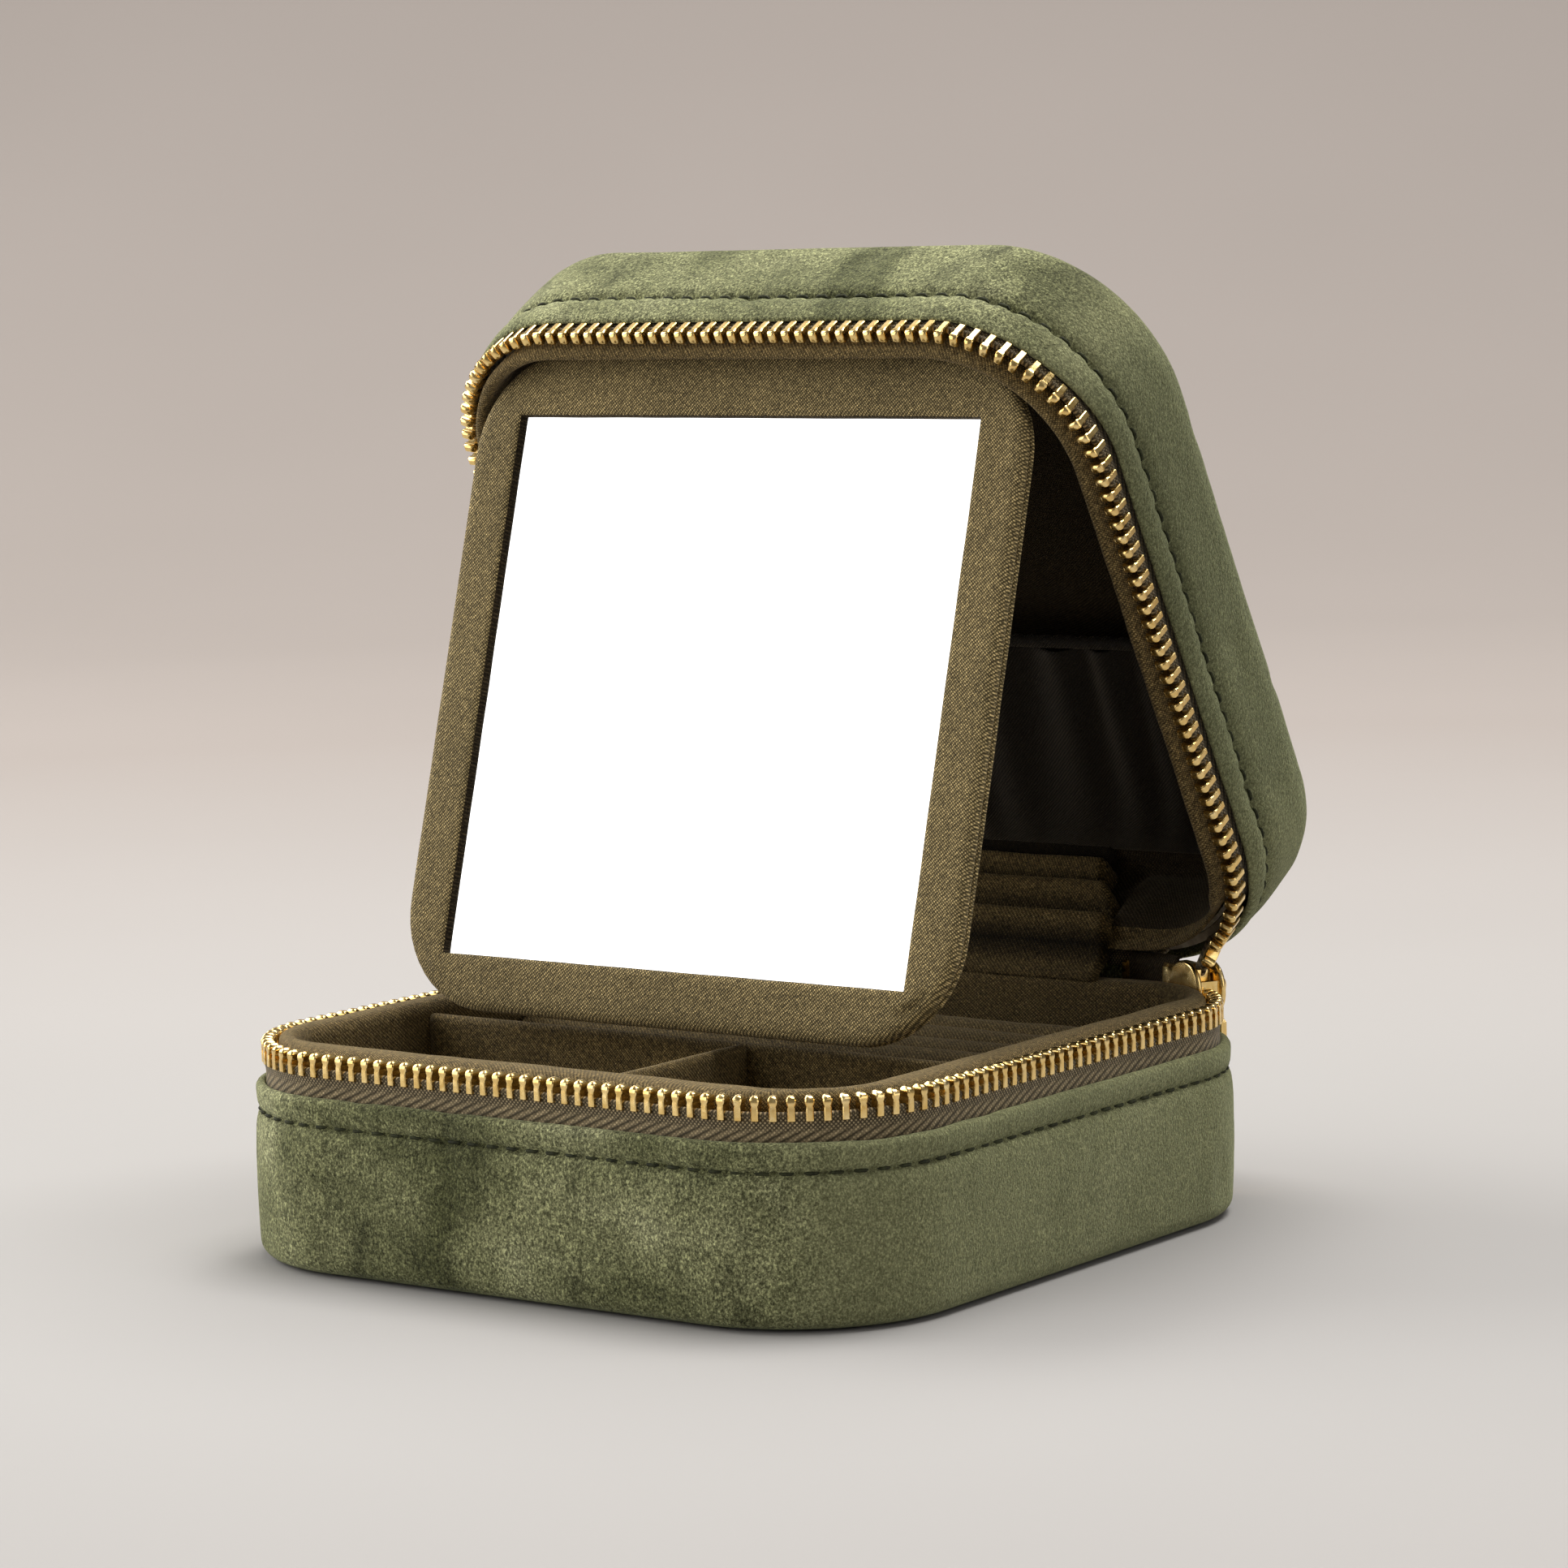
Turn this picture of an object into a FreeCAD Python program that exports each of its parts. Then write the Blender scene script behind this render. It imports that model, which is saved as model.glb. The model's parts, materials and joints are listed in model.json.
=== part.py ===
"""Travel jewelry case, open, with its mirror flap standing as a prop.

Millimetres. +Z up, +X right, +Y towards the hinge. The origin is the centre of the bottom face.
The lid is laid out closed over the base and then turned open about the spine.
"""

import FreeCAD
import Part
import math
import os

from FreeCAD import Vector

os.makedirs("parts", exist_ok=True)

# Outside of the case
HALF = 50.0                 # half of the width and of the depth
CORNER = 21.3               # plan corner radius
BOTTOM_FILLET = 1.4
TOP_FILLET = 3.3
BASE_VELVET_TOP = 22.0
CLOSING_PLANE = 27.4        # where the two rows of teeth meet
LID_VELVET_EDGE = 32.4
LID_TOP = 49.2

# Wall layers, as distances in from the outside face
VELVET = 1.2
TAPE_OUT, TAPE_IN = 1.4, 2.0
BOARD_OUT, BOARD_IN = 2.1, 3.3
RIM_OUT, RIM_IN = 4.2, 8.0
ROOM_CORNER = 7.0           # plan corner radius inside the rim
LID_RING_OUT, LID_RING_IN = 4.0, 4.9
SKIN = 0.9
GAP = 0.1

# Base, by height
BOTTOM_BOARD_TOP = 2.8
FLOOR_TOP = 5.0
WALL_FOAM_TOP = 23.2
RIM_TOP = 27.6
DIVIDER_TOP = 26.0
DIVIDER_THICK = 1.4
LONG_DIVIDER_FRONT = -12.0
SHORT_DIVIDER_X = 8.0
ROLL_COUNT = 6
ROLL_PITCH = 7.4
ROLL_WIDTH = 7.2
ROLL_TOP = 23.5

# Spine and how far the lid stands open
HINGE_Y, HINGE_Z = 47.35, 29.76
LID_OPEN_DEG = 60.8
SPINE_HALF = 25.0

# Lid, by height while it is closed
LID_BOARD_TOP = 47.1
CEILING_BOTTOM, CEILING_TOP = 45.0, 45.8
RING_BOTTOM = 27.2
RING_BOTTOM_AT_SPINE = 29.4
POCKET_MOUTH_Y, POCKET_END_Y = 5.4, 41.6
POCKET_DEEP, POCKET_SHALLOW = 5.4, 1.8
POCKET_SKIN = 0.9

# Mirror flap, laid out folded into the lid
FLAP_PIVOT_Y, FLAP_PIVOT_Z = -42.2, 32.2
FLAP_DROP_DEG = 45.1
FLAP_HALF_WIDTH = 42.4
FLAP_CORNER = 13.6
HINGE_STRIP_HALF = 28.0
FLAP_TOP_EDGE, FLAP_FOOT = -43.6, 42.1
COVER_TOP_EDGE = -42.5
WINDOW_HALF = 35.5
WINDOW_TOP, WINDOW_BOTTOM = -34.9, 35.1
GLASS_LIP = 0.8
FLAP_LEVELS = (30.6, 31.6, 33.0, 33.8)

# Zip
TOOTH_PITCH = 2.05
TOOTH_LONG = 1.1
TOOTH_TALL = 2.5
TOOTH_INSET = 1.7           # middle of the tooth
TOOTH_HALF = 0.9
CHAIN_END_X = 27.0
LID_CHAIN_END_DEG = 48.0    # on the rear corner arc, from the side
UPPER_CHAIN_START_DEG = 81.0
TAPE_BELOW = 6.4

# Slider, parked on the rear right corner
SLIDER_DEG = 62.0
SLIDER_HALF_LONG = 4.6
SLIDER_WIDE, SLIDER_NARROW = 3.3, 2.3
PLATE = 0.75
OUTER_PLATE_R = 20.8
INNER_PLATE_R = 17.3
BAIL_R = 22.9
BAIL_HALF = 3.0
PULL_LENGTH = 26.0


def rounded_face(x0, x1, y0, y1, radius, z):
    """A rectangle with four equal round corners, as a face at height z."""
    turn = radius * (1 - math.cos(math.radians(45)))
    p = lambda x, y: Vector(x, y, z)
    edges = [
        Part.LineSegment(p(x0 + radius, y0), p(x1 - radius, y0)),
        Part.Arc(p(x1 - radius, y0), p(x1 - turn, y0 + turn), p(x1, y0 + radius)),
        Part.LineSegment(p(x1, y0 + radius), p(x1, y1 - radius)),
        Part.Arc(p(x1, y1 - radius), p(x1 - turn, y1 - turn), p(x1 - radius, y1)),
        Part.LineSegment(p(x1 - radius, y1), p(x0 + radius, y1)),
        Part.Arc(p(x0 + radius, y1), p(x0 + turn, y1 - turn), p(x0, y1 - radius)),
        Part.LineSegment(p(x0, y1 - radius), p(x0, y0 + radius)),
        Part.Arc(p(x0, y0 + radius), p(x0 + turn, y0 + turn), p(x0 + radius, y0)),
    ]
    return Part.Face(Part.Wire([e.toShape() for e in edges]))


def block(inset, z0, z1):
    """The case's plan, moved in by inset, from z0 to z1."""
    half = HALF - inset
    face = rounded_face(-half, half, -half, half, CORNER - inset, z0)
    return face.extrude(Vector(0, 0, z1 - z0))


def ring(outer, inner, z0, z1):
    return block(outer, z0, z1).cut(block(inner, z0 - 1, z1 + 1))


def room(outward, z0, z1):
    """The room inside the rim, moved out by outward, from z0 to z1."""
    half = HALF - RIM_IN + outward
    face = rounded_face(-half, half, -half, half, ROOM_CORNER + outward, z0)
    return face.extrude(Vector(0, 0, z1 - z0))


def box(x0, x1, y0, y1, z0, z1):
    return Part.makeBox(x1 - x0, y1 - y0, z1 - z0, Vector(x0, y0, z0))


def prism_along_x(points, x0, x1):
    """A closed outline of (y, z) points, pushed from x0 to x1."""
    corners = [Vector(x0, y, z) for y, z in points]
    return Part.Face(Part.makePolygon(corners + corners[:1])).extrude(Vector(x1 - x0, 0, 0))


def fillet_level(shape, z, radius):
    """Rounds the edges that lie wholly at height z."""
    level = [e for e in shape.Edges if abs(e.BoundBox.ZMin - z) < 1e-4 and abs(e.BoundBox.ZMax - z) < 1e-4]
    return shape.makeFillet(radius, level)


def open_lid(shape):
    turned = shape.copy()
    turned.rotate(Vector(0, HINGE_Y, HINGE_Z), Vector(-1, 0, 0), LID_OPEN_DEG)
    return turned


def drop_flap(shape):
    turned = shape.copy()
    turned.rotate(Vector(0, FLAP_PIVOT_Y, FLAP_PIVOT_Z), Vector(-1, 0, 0), FLAP_DROP_DEG)
    return open_lid(turned)


def save(name, shape):
    solids = shape.Solids
    kept = solids[0] if len(solids) == 1 else Part.makeCompound(solids)
    kept.exportStep("parts/" + name + ".step")
    print(name, len(solids), "solid(s)", round(kept.Volume, 1), "mm3")


def base_shells():
    outer = fillet_level(block(0, 0, BASE_VELVET_TOP), 0, BOTTOM_FILLET)
    save("base_velvet_shell", outer.cut(block(VELVET, VELVET, BASE_VELVET_TOP + 1)))
    save("base_bottom_board", block(VELVET + GAP, VELVET, BOTTOM_BOARD_TOP))
    side_bottom = BOTTOM_BOARD_TOP + GAP
    save("base_side_board", ring(BOARD_OUT, BOARD_IN, side_bottom, WALL_FOAM_TOP))
    foam = block(BOARD_IN + GAP, side_bottom, WALL_FOAM_TOP)
    save("base_wall_foam", foam.cut(room(SKIN + GAP, side_bottom - 1, RIM_TOP)))
    hollow = room(0, side_bottom - 1, RIM_TOP + 1)
    skin = room(SKIN, side_bottom, RIM_TOP).cut(hollow)
    rim = block(RIM_OUT, WALL_FOAM_TOP + GAP, RIM_TOP).cut(hollow)
    save("base_lining_wall", skin.fuse(rim).removeSplitter())
    save("base_floor_pad", room(-GAP, side_bottom, FLOOR_TOP))


def base_inside():
    inside = room(-GAP, FLOOR_TOP, RIM_TOP)
    front, back = LONG_DIVIDER_FRONT, LONG_DIVIDER_FRONT + DIVIDER_THICK
    save("long_divider", box(-HALF, HALF, front, back, FLOOR_TOP, DIVIDER_TOP).common(inside))
    left = SHORT_DIVIDER_X - DIVIDER_THICK / 2
    short = box(left, left + DIVIDER_THICK, -HALF, front - GAP, FLOOR_TOP, DIVIDER_TOP)
    save("short_divider", short.common(inside))
    top_radius = ROLL_WIDTH / 2
    for i in range(ROLL_COUNT):
        y = back + GAP + ROLL_PITCH * (i + 0.5)
        upright = box(-HALF, HALF, y - top_radius, y + top_radius, FLOOR_TOP, ROLL_TOP - top_radius)
        crown = Part.makeCylinder(top_radius, 2 * HALF, Vector(-HALF, y, ROLL_TOP - top_radius), Vector(1, 0, 0))
        save("ring_roll_%d" % (i + 1), upright.fuse(crown).removeSplitter().common(inside))


def chain_stations(start_deg, start_x):
    """(x, y, angle of the outward normal) of each tooth, from the rear left round the front to the rear right.
    The row starts start_deg along the rear corner arc, or beyond the arc at start_x if that is given."""
    radius = CORNER - TOOTH_INSET
    centre = HALF - CORNER
    half = HALF - TOOTH_INSET
    runs = []
    if start_x is not None:
        runs.append(("line", Vector(-start_x, half), Vector(-centre, half), 90.0))
        start_deg = 90.0
    runs.append(("arc", Vector(-centre, centre), 180.0 - start_deg, 180.0))
    runs.append(("line", Vector(-half, centre), Vector(-half, -centre), 180.0))
    runs.append(("arc", Vector(-centre, -centre), 180.0, 270.0))
    runs.append(("line", Vector(-centre, -half), Vector(centre, -half), 270.0))
    runs.append(("arc", Vector(centre, -centre), 270.0, 360.0))
    runs.append(("line", Vector(half, -centre), Vector(half, centre), 0.0))
    runs.append(("arc", Vector(centre, centre), 0.0, start_deg))
    if start_x is not None:
        runs.append(("line", Vector(centre, half), Vector(start_x, half), 90.0))
    lengths = [
        run[1].distanceToPoint(run[2]) if run[0] == "line" else math.radians(run[3] - run[2]) * radius
        for run in runs
    ]
    count = int(sum(lengths) / TOOTH_PITCH)
    step = sum(lengths) / count
    stations = []
    for i in range(count):
        along = (i + 0.5) * step
        for run, length in zip(runs, lengths):
            if along <= length:
                break
            along -= length
        if run[0] == "line":
            point = run[1] + (run[2] - run[1]) * (along / length)
            stations.append((point.x, point.y, run[3]))
        else:
            angle = run[2] + (run[3] - run[2]) * along / length
            turn = math.radians(angle)
            stations.append((run[1].x + radius * math.cos(turn), run[1].y + radius * math.sin(turn), angle))
    return stations


def tooth(x, y, angle, up):
    """One tooth on the closing plane: a block on the tape with a narrower head. up is +1 below the plane, -1 above."""
    foot = CLOSING_PLANE - up * TOOTH_TALL
    neck = CLOSING_PLANE - up * 1.3
    head = TOOTH_HALF * 0.6
    outline = [
        (-TOOTH_HALF, foot), (TOOTH_HALF, foot), (TOOTH_HALF, neck),
        (head, CLOSING_PLANE), (-head, CLOSING_PLANE), (-TOOTH_HALF, neck),
    ]
    corners = [Vector(n, -TOOTH_LONG / 2, z) for n, z in outline]
    solid = Part.Face(Part.makePolygon(corners + corners[:1])).extrude(Vector(0, TOOTH_LONG, 0))
    solid.rotate(Vector(0, 0, 0), Vector(0, 0, 1), angle)
    solid.translate(Vector(x, y, 0))
    return solid


def rear_part(x0, x1):
    """Everything behind the corner arcs' start, between two distances from the middle, on both sides."""
    right = box(x0, x1, HALF - CORNER, HALF + 1, 0, LID_TOP)
    left = box(-x1, -x0, HALF - CORNER, HALF + 1, 0, LID_TOP)
    return right.fuse(left)


def arc_wedge(start_deg, end_deg):
    """The wedge of the two rear corners between two angles on their arcs."""
    reach = 2 * CORNER
    wedges = []
    for side in (1, -1):
        centre = Vector(side * (HALF - CORNER), HALF - CORNER, 0)
        rim = [
            centre + Vector(side * math.cos(math.radians(a)), math.sin(math.radians(a)), 0) * reach
            for a in (start_deg, (start_deg + end_deg) / 2, end_deg)
        ]
        face = Part.Face(Part.makePolygon([centre] + rim + [centre]))
        wedges.append(face.extrude(Vector(0, 0, LID_TOP)))
    return wedges[0].fuse(wedges[1])


def zip_chain():
    tape_top = CLOSING_PLANE - TOOTH_TALL
    tape = ring(TAPE_OUT, TAPE_IN, tape_top - TAPE_BELOW, tape_top)
    save("base_zip_tape", tape.cut(box(-CHAIN_END_X, CHAIN_END_X, 0, HALF + 1, 0, LID_TOP)))
    base_teeth = [tooth(x, y, a, 1) for x, y, a in chain_stations(None, CHAIN_END_X)]
    save("base_zip_teeth", Part.makeCompound(base_teeth))

    lid_tape_edge = CLOSING_PLANE + TOOTH_TALL
    behind = box(-HALF - 1, HALF + 1, HALF - CORNER, HALF + 1, 0, LID_TOP)
    kept = arc_wedge(0, LID_CHAIN_END_DEG)
    lid_tape = ring(TAPE_OUT, TAPE_IN, lid_tape_edge, lid_tape_edge + TAPE_BELOW)
    lid_tape = lid_tape.cut(behind).fuse(lid_tape.common(kept)).removeSplitter()
    save("lid_zip_tape", open_lid(lid_tape))
    lid_teeth = [tooth(x, y, a, -1) for x, y, a in chain_stations(LID_CHAIN_END_DEG, None)]
    save("lid_zip_teeth", open_lid(Part.makeCompound(lid_teeth)))

    rear = rear_part(CHAIN_END_X, HALF - CORNER).fuse(arc_wedge(UPPER_CHAIN_START_DEG, 90))
    upper_tape = ring(TAPE_OUT, TAPE_IN, lid_tape_edge, lid_tape_edge + 1.4).common(rear)
    save("rear_upper_tape", upper_tape)
    radius = CORNER - TOOTH_INSET
    centre = HALF - CORNER
    upper = []
    for side in (1, -1):
        degrees = UPPER_CHAIN_START_DEG + 3
        turn = math.radians(degrees)
        x, y = centre + radius * math.cos(turn), centre + radius * math.sin(turn)
        upper.append(tooth(side * x, y, degrees if side > 0 else 180 - degrees, -1))
        upper.append(tooth(side * (CHAIN_END_X + 1.0), HALF - TOOTH_INSET, 90, -1))
    save("rear_upper_teeth", Part.makeCompound(upper))

    stops = []
    y0, y1 = HALF - TOOTH_INSET - 1.0, HALF - TOOTH_INSET + 1.0
    for x in (CHAIN_END_X - 1.1, -CHAIN_END_X + 0.1):
        stops.append(box(x, x + 1.0, y0, y1, CLOSING_PLANE - 2.2, CLOSING_PLANE + 2.2))
    save("zip_end_stops", Part.makeCompound(stops))


def spine():
    outer = [(48.0, 17.0), (48.7, 17.0), (48.7, 22.2), (50.6, 28.0), (50.0, 28.3), (48.0, 22.4)]
    save("spine_cover", prism_along_x(outer, -SPINE_HALF, SPINE_HALF))
    inner = [(45.95, WALL_FOAM_TOP + 2 * GAP), (46.55, WALL_FOAM_TOP + 2 * GAP), (46.55, 29.8), (45.95, 29.8)]
    save("spine_lining", prism_along_x(inner, -SPINE_HALF, SPINE_HALF))


def lid_shells():
    outer = fillet_level(block(0, LID_VELVET_EDGE, LID_TOP), LID_TOP, TOP_FILLET)
    inner_top = LID_TOP - VELVET
    inner = fillet_level(block(VELVET, LID_VELVET_EDGE - 1, inner_top), inner_top, TOP_FILLET - VELVET)
    save("lid_velvet_shell", open_lid(outer.cut(inner)))
    board_bottom = LID_VELVET_EDGE + 0.4
    board = fillet_level(block(BOARD_OUT, board_bottom, LID_BOARD_TOP), LID_BOARD_TOP, TOP_FILLET - BOARD_OUT)
    board = board.cut(block(BOARD_IN, board_bottom - 1, LID_BOARD_TOP - 1.2))
    save("lid_board", open_lid(board))
    save("lid_top_foam", open_lid(block(BOARD_IN + GAP, LID_BOARD_TOP + 0.05, inner_top - 0.05)))
    save("lid_wall_foam", open_lid(ring(BOARD_IN + GAP, LID_RING_OUT - GAP, board_bottom, CEILING_TOP)))
    lining = ring(LID_RING_OUT, LID_RING_IN, RING_BOTTOM, CEILING_TOP)
    notch = box(-HALF, HALF, HALF - 10, HALF, RING_BOTTOM - 1, RING_BOTTOM_AT_SPINE)
    save("lid_lining_ring", open_lid(lining.cut(notch)))
    save("lid_ceiling_lining", open_lid(block(LID_RING_IN + GAP, CEILING_BOTTOM, CEILING_TOP)))


def lid_pocket():
    hollow_lid = block(LID_RING_IN + GAP, RING_BOTTOM, CEILING_BOTTOM)
    inner_room = block(LID_RING_IN + GAP + POCKET_SKIN, RING_BOTTOM, CEILING_BOTTOM + 1)
    deep, shallow = CEILING_BOTTOM - POCKET_DEEP, CEILING_BOTTOM - POCKET_SHALLOW
    outer = prism_along_x(
        [(POCKET_MOUTH_Y, CEILING_BOTTOM), (POCKET_MOUTH_Y, deep),
         (POCKET_END_Y, shallow), (POCKET_END_Y, CEILING_BOTTOM)], -HALF, HALF)
    hollow = prism_along_x(
        [(POCKET_MOUTH_Y - 1, CEILING_BOTTOM + 1), (POCKET_MOUTH_Y - 1, deep + POCKET_SKIN),
         (POCKET_END_Y - POCKET_SKIN, shallow + POCKET_SKIN),
         (POCKET_END_Y - POCKET_SKIN, CEILING_BOTTOM + 1)], -HALF, HALF)
    pocket = outer.common(hollow_lid).cut(hollow.common(inner_room))
    save("lid_pocket", open_lid(pocket))
    elastic = box(-HALF, HALF, POCKET_MOUTH_Y - 2.1, POCKET_MOUTH_Y - GAP, deep - 0.4, deep + 0.9)
    save("lid_pocket_elastic", open_lid(elastic.common(hollow_lid)))


def mirror_flap():
    z0, z1, z2, z3 = FLAP_LEVELS
    wide = FLAP_HALF_WIDTH
    window = box(-WINDOW_HALF, WINDOW_HALF, WINDOW_TOP, WINDOW_BOTTOM, z0 - 1, z1 + 1)
    front = rounded_face(-wide, wide, COVER_TOP_EDGE, FLAP_FOOT, FLAP_CORNER, z0).extrude(Vector(0, 0, z1 - z0))
    save("mirror_front_cover", drop_flap(front.cut(window)))
    core = rounded_face(-wide, wide, FLAP_TOP_EDGE, FLAP_FOOT, FLAP_CORNER, z1).extrude(Vector(0, 0, z2 - z1))
    glass_half = WINDOW_HALF + GLASS_LIP
    glass_y0, glass_y1 = WINDOW_TOP - GLASS_LIP, WINDOW_BOTTOM + GLASS_LIP
    seat = box(-glass_half - GAP, glass_half + GAP, glass_y0 - GAP, glass_y1 + GAP, z1 - 1, z2 + 1)
    save("mirror_core_board", drop_flap(core.cut(seat)))
    save("mirror_glass", drop_flap(box(-glass_half, glass_half, glass_y0, glass_y1, z1, z2)))
    back = rounded_face(-wide, wide, COVER_TOP_EDGE, FLAP_FOOT, FLAP_CORNER, z2).extrude(Vector(0, 0, z3 - z2))
    save("mirror_back_cover", drop_flap(back))
    strip_y = -(HALF - LID_RING_IN)
    strip = box(-HINGE_STRIP_HALF, HINGE_STRIP_HALF, strip_y, strip_y + 0.3, FLAP_PIVOT_Z - 2.5, FLAP_PIVOT_Z + 4)
    save("mirror_hinge_strip", open_lid(strip))


def slider_place(shape):
    """From the slider's own frame (+X out of the case, +Y along the chain to the spine) to its parked place."""
    placed = shape.copy()
    placed.rotate(Vector(0, 0, 0), Vector(0, 0, 1), SLIDER_DEG)
    placed.translate(Vector(HALF - CORNER, HALF - CORNER, CLOSING_PLANE))
    return placed


def slider_plate(radius):
    """A plate that narrows from the open end to the closed end, lying on the chain."""
    y0, y1 = -SLIDER_HALF_LONG, SLIDER_HALF_LONG
    outline = [
        (y0, -SLIDER_WIDE * 0.6), (y0 + 1.2, -SLIDER_WIDE), (y0 + 3.4, -SLIDER_WIDE), (y1 - 0.8, -SLIDER_NARROW),
        (y1, -SLIDER_NARROW * 0.6), (y1, SLIDER_NARROW * 0.6), (y1 - 0.8, SLIDER_NARROW),
        (y0 + 3.4, SLIDER_WIDE), (y0 + 1.2, SLIDER_WIDE), (y0, SLIDER_WIDE * 0.6),
    ]
    return prism_along_x(outline, radius, radius + PLATE)


def slider_and_pull():
    outer = slider_plate(OUTER_PLATE_R)
    inner = slider_plate(INNER_PLATE_R)
    post_y = -SLIDER_HALF_LONG + 0.9
    post = box(INNER_PLATE_R + 0.1, OUTER_PLATE_R + 0.1, post_y, post_y + 1.6, 0.2, 1.2)
    beam = 0.45
    foot = OUTER_PLATE_R + PLATE - 0.1
    bail = box(foot, BAIL_R + beam, -BAIL_HALF, BAIL_HALF, -beam, beam)
    bail = bail.cut(box(foot - 1, BAIL_R - beam, -BAIL_HALF + 0.9, BAIL_HALF - 0.9, -1, 1))
    save("zip_slider", slider_place(outer.fuse([inner, post, bail]).removeSplitter()))

    eye_out, eye_in, half_thick = 1.2, 0.75, 0.45
    leg = 2.6
    turn = Vector(0, 1, 0)
    top = Vector(BAIL_R, -half_thick, 0)
    link = Part.makeCylinder(eye_out, 2 * half_thick, top, turn)
    link = link.fuse(Part.makeCylinder(eye_out, 2 * half_thick, top - Vector(0, 0, leg), turn))
    link = link.fuse(box(BAIL_R - eye_out, BAIL_R + eye_out, -half_thick, half_thick, -leg, 0))
    hole = Part.makeCylinder(eye_in, 2 * half_thick + 2, top - turn, turn)
    hole = hole.fuse(Part.makeCylinder(eye_in, 2 * half_thick + 2, top - turn - Vector(0, 0, leg), turn))
    hole = hole.fuse(box(BAIL_R - eye_in, BAIL_R + eye_in, -2, 2, -leg, 0))
    bar_top = -leg - 1.0
    bar = box(BAIL_R - 0.5, BAIL_R + 0.5, -1.65, 1.65, -PULL_LENGTH, bar_top)
    save("zip_pull", slider_place(link.cut(hole).fuse(bar).removeSplitter()))


base_shells()
base_inside()
zip_chain()
spine()
lid_shells()
lid_pocket()
mirror_flap()
slider_and_pull()
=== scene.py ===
"""Looks of the travel jewelry case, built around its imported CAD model.

Lengths are in millimetres until a mesh is made, and Blender's own units are metres.
The lid is laid out closed and turned open by LID. The mirror flap is laid out folded and placed by FLAP.
"""

import json
from math import copysign, cos, exp, pi, radians, sin, sqrt

import bpy
from mathutils import Matrix, Vector, noise


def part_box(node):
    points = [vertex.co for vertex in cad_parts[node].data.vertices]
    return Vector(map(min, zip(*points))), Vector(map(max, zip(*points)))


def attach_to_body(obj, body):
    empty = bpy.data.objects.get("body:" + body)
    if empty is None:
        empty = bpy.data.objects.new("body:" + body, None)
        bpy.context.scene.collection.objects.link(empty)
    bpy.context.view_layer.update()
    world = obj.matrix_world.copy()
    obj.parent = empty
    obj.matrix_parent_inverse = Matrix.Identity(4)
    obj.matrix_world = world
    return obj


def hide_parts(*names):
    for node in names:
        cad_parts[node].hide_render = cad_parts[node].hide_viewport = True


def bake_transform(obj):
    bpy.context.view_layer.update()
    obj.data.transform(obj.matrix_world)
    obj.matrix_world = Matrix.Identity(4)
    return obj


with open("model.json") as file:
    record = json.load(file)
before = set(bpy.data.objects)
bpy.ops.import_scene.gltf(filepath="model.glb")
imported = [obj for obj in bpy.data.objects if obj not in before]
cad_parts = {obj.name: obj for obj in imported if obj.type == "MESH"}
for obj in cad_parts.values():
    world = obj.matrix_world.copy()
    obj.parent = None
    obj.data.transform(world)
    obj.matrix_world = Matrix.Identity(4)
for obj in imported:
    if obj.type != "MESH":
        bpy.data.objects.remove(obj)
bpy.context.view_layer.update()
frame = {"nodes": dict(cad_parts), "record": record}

MM = 0.001


def node_box(name):
    """A CAD node's lowest and highest corners, in millimetres."""
    low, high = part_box(name)
    return low / MM, high / MM


def joint(name):
    return next(j for j in frame["record"]["behaviour"]["joints"] if j["name"] == name)


# The case's plan and levels, from the CAD nodes
HALF = node_box("base_velvet_shell")[1].x
VELVET_TOP = node_box("base_velvet_shell")[1].z
CLOSING = node_box("base_zip_teeth")[1].z
RIM_TOP = node_box("base_lining_wall")[1].z
FLOOR_TOP = node_box("base_floor_pad")[1].z
ROLL_TOP = node_box("ring_roll_1")[1].z
FLAP_HALF = node_box("mirror_front_cover")[1].x
WINDOW_HALF = node_box("mirror_glass")[1].x - 0.8
SPINE_HALF = node_box("spine_cover")[1].x
CHAIN_END = 27.0

CORNER = 21.3
LID_EDGE = 32.4
LID_HEM = 31.6              # the rolled hem comes this far down
REAR_HEM = 1.05             # and stays this much higher behind, clear of the closed chain
FRONT_HEM = 1.1             # and comes this much lower in front
LID_TOP = 49.2
CEILING = 45.0
BASE_STITCH, LID_STITCH = 18.5, 35.6
RIM_EDGE, RIM_IN = 2.95, 8.0  # the padded rim, from behind the chain to the room
ROOM_CORNER = 7.0           # plan corner radius inside the rim
LID_RING_IN = 4.9
TOOTH_PITCH = 2.05
TOOTH_INSET = 1.7
UPPER_TIP = CLOSING - 0.75  # tips of the closed chain's upper teeth
FLAP_CORNER = 13.6
FLAP_TOP, FLAP_FOOT = -43.6, 42.1
WINDOW_TOP, WINDOW_FOOT = -34.9, 35.1
GLASS_LEVEL, SEAM_LEVEL = 31.6, 32.5
POCKET_MOUTH, POCKET_END = 5.4, 41.0
POCKET_DEEP, POCKET_SHALLOW = 5.0, 1.2
BAIL_OUT, PLATE_FACE = 22.9, 21.55

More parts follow.
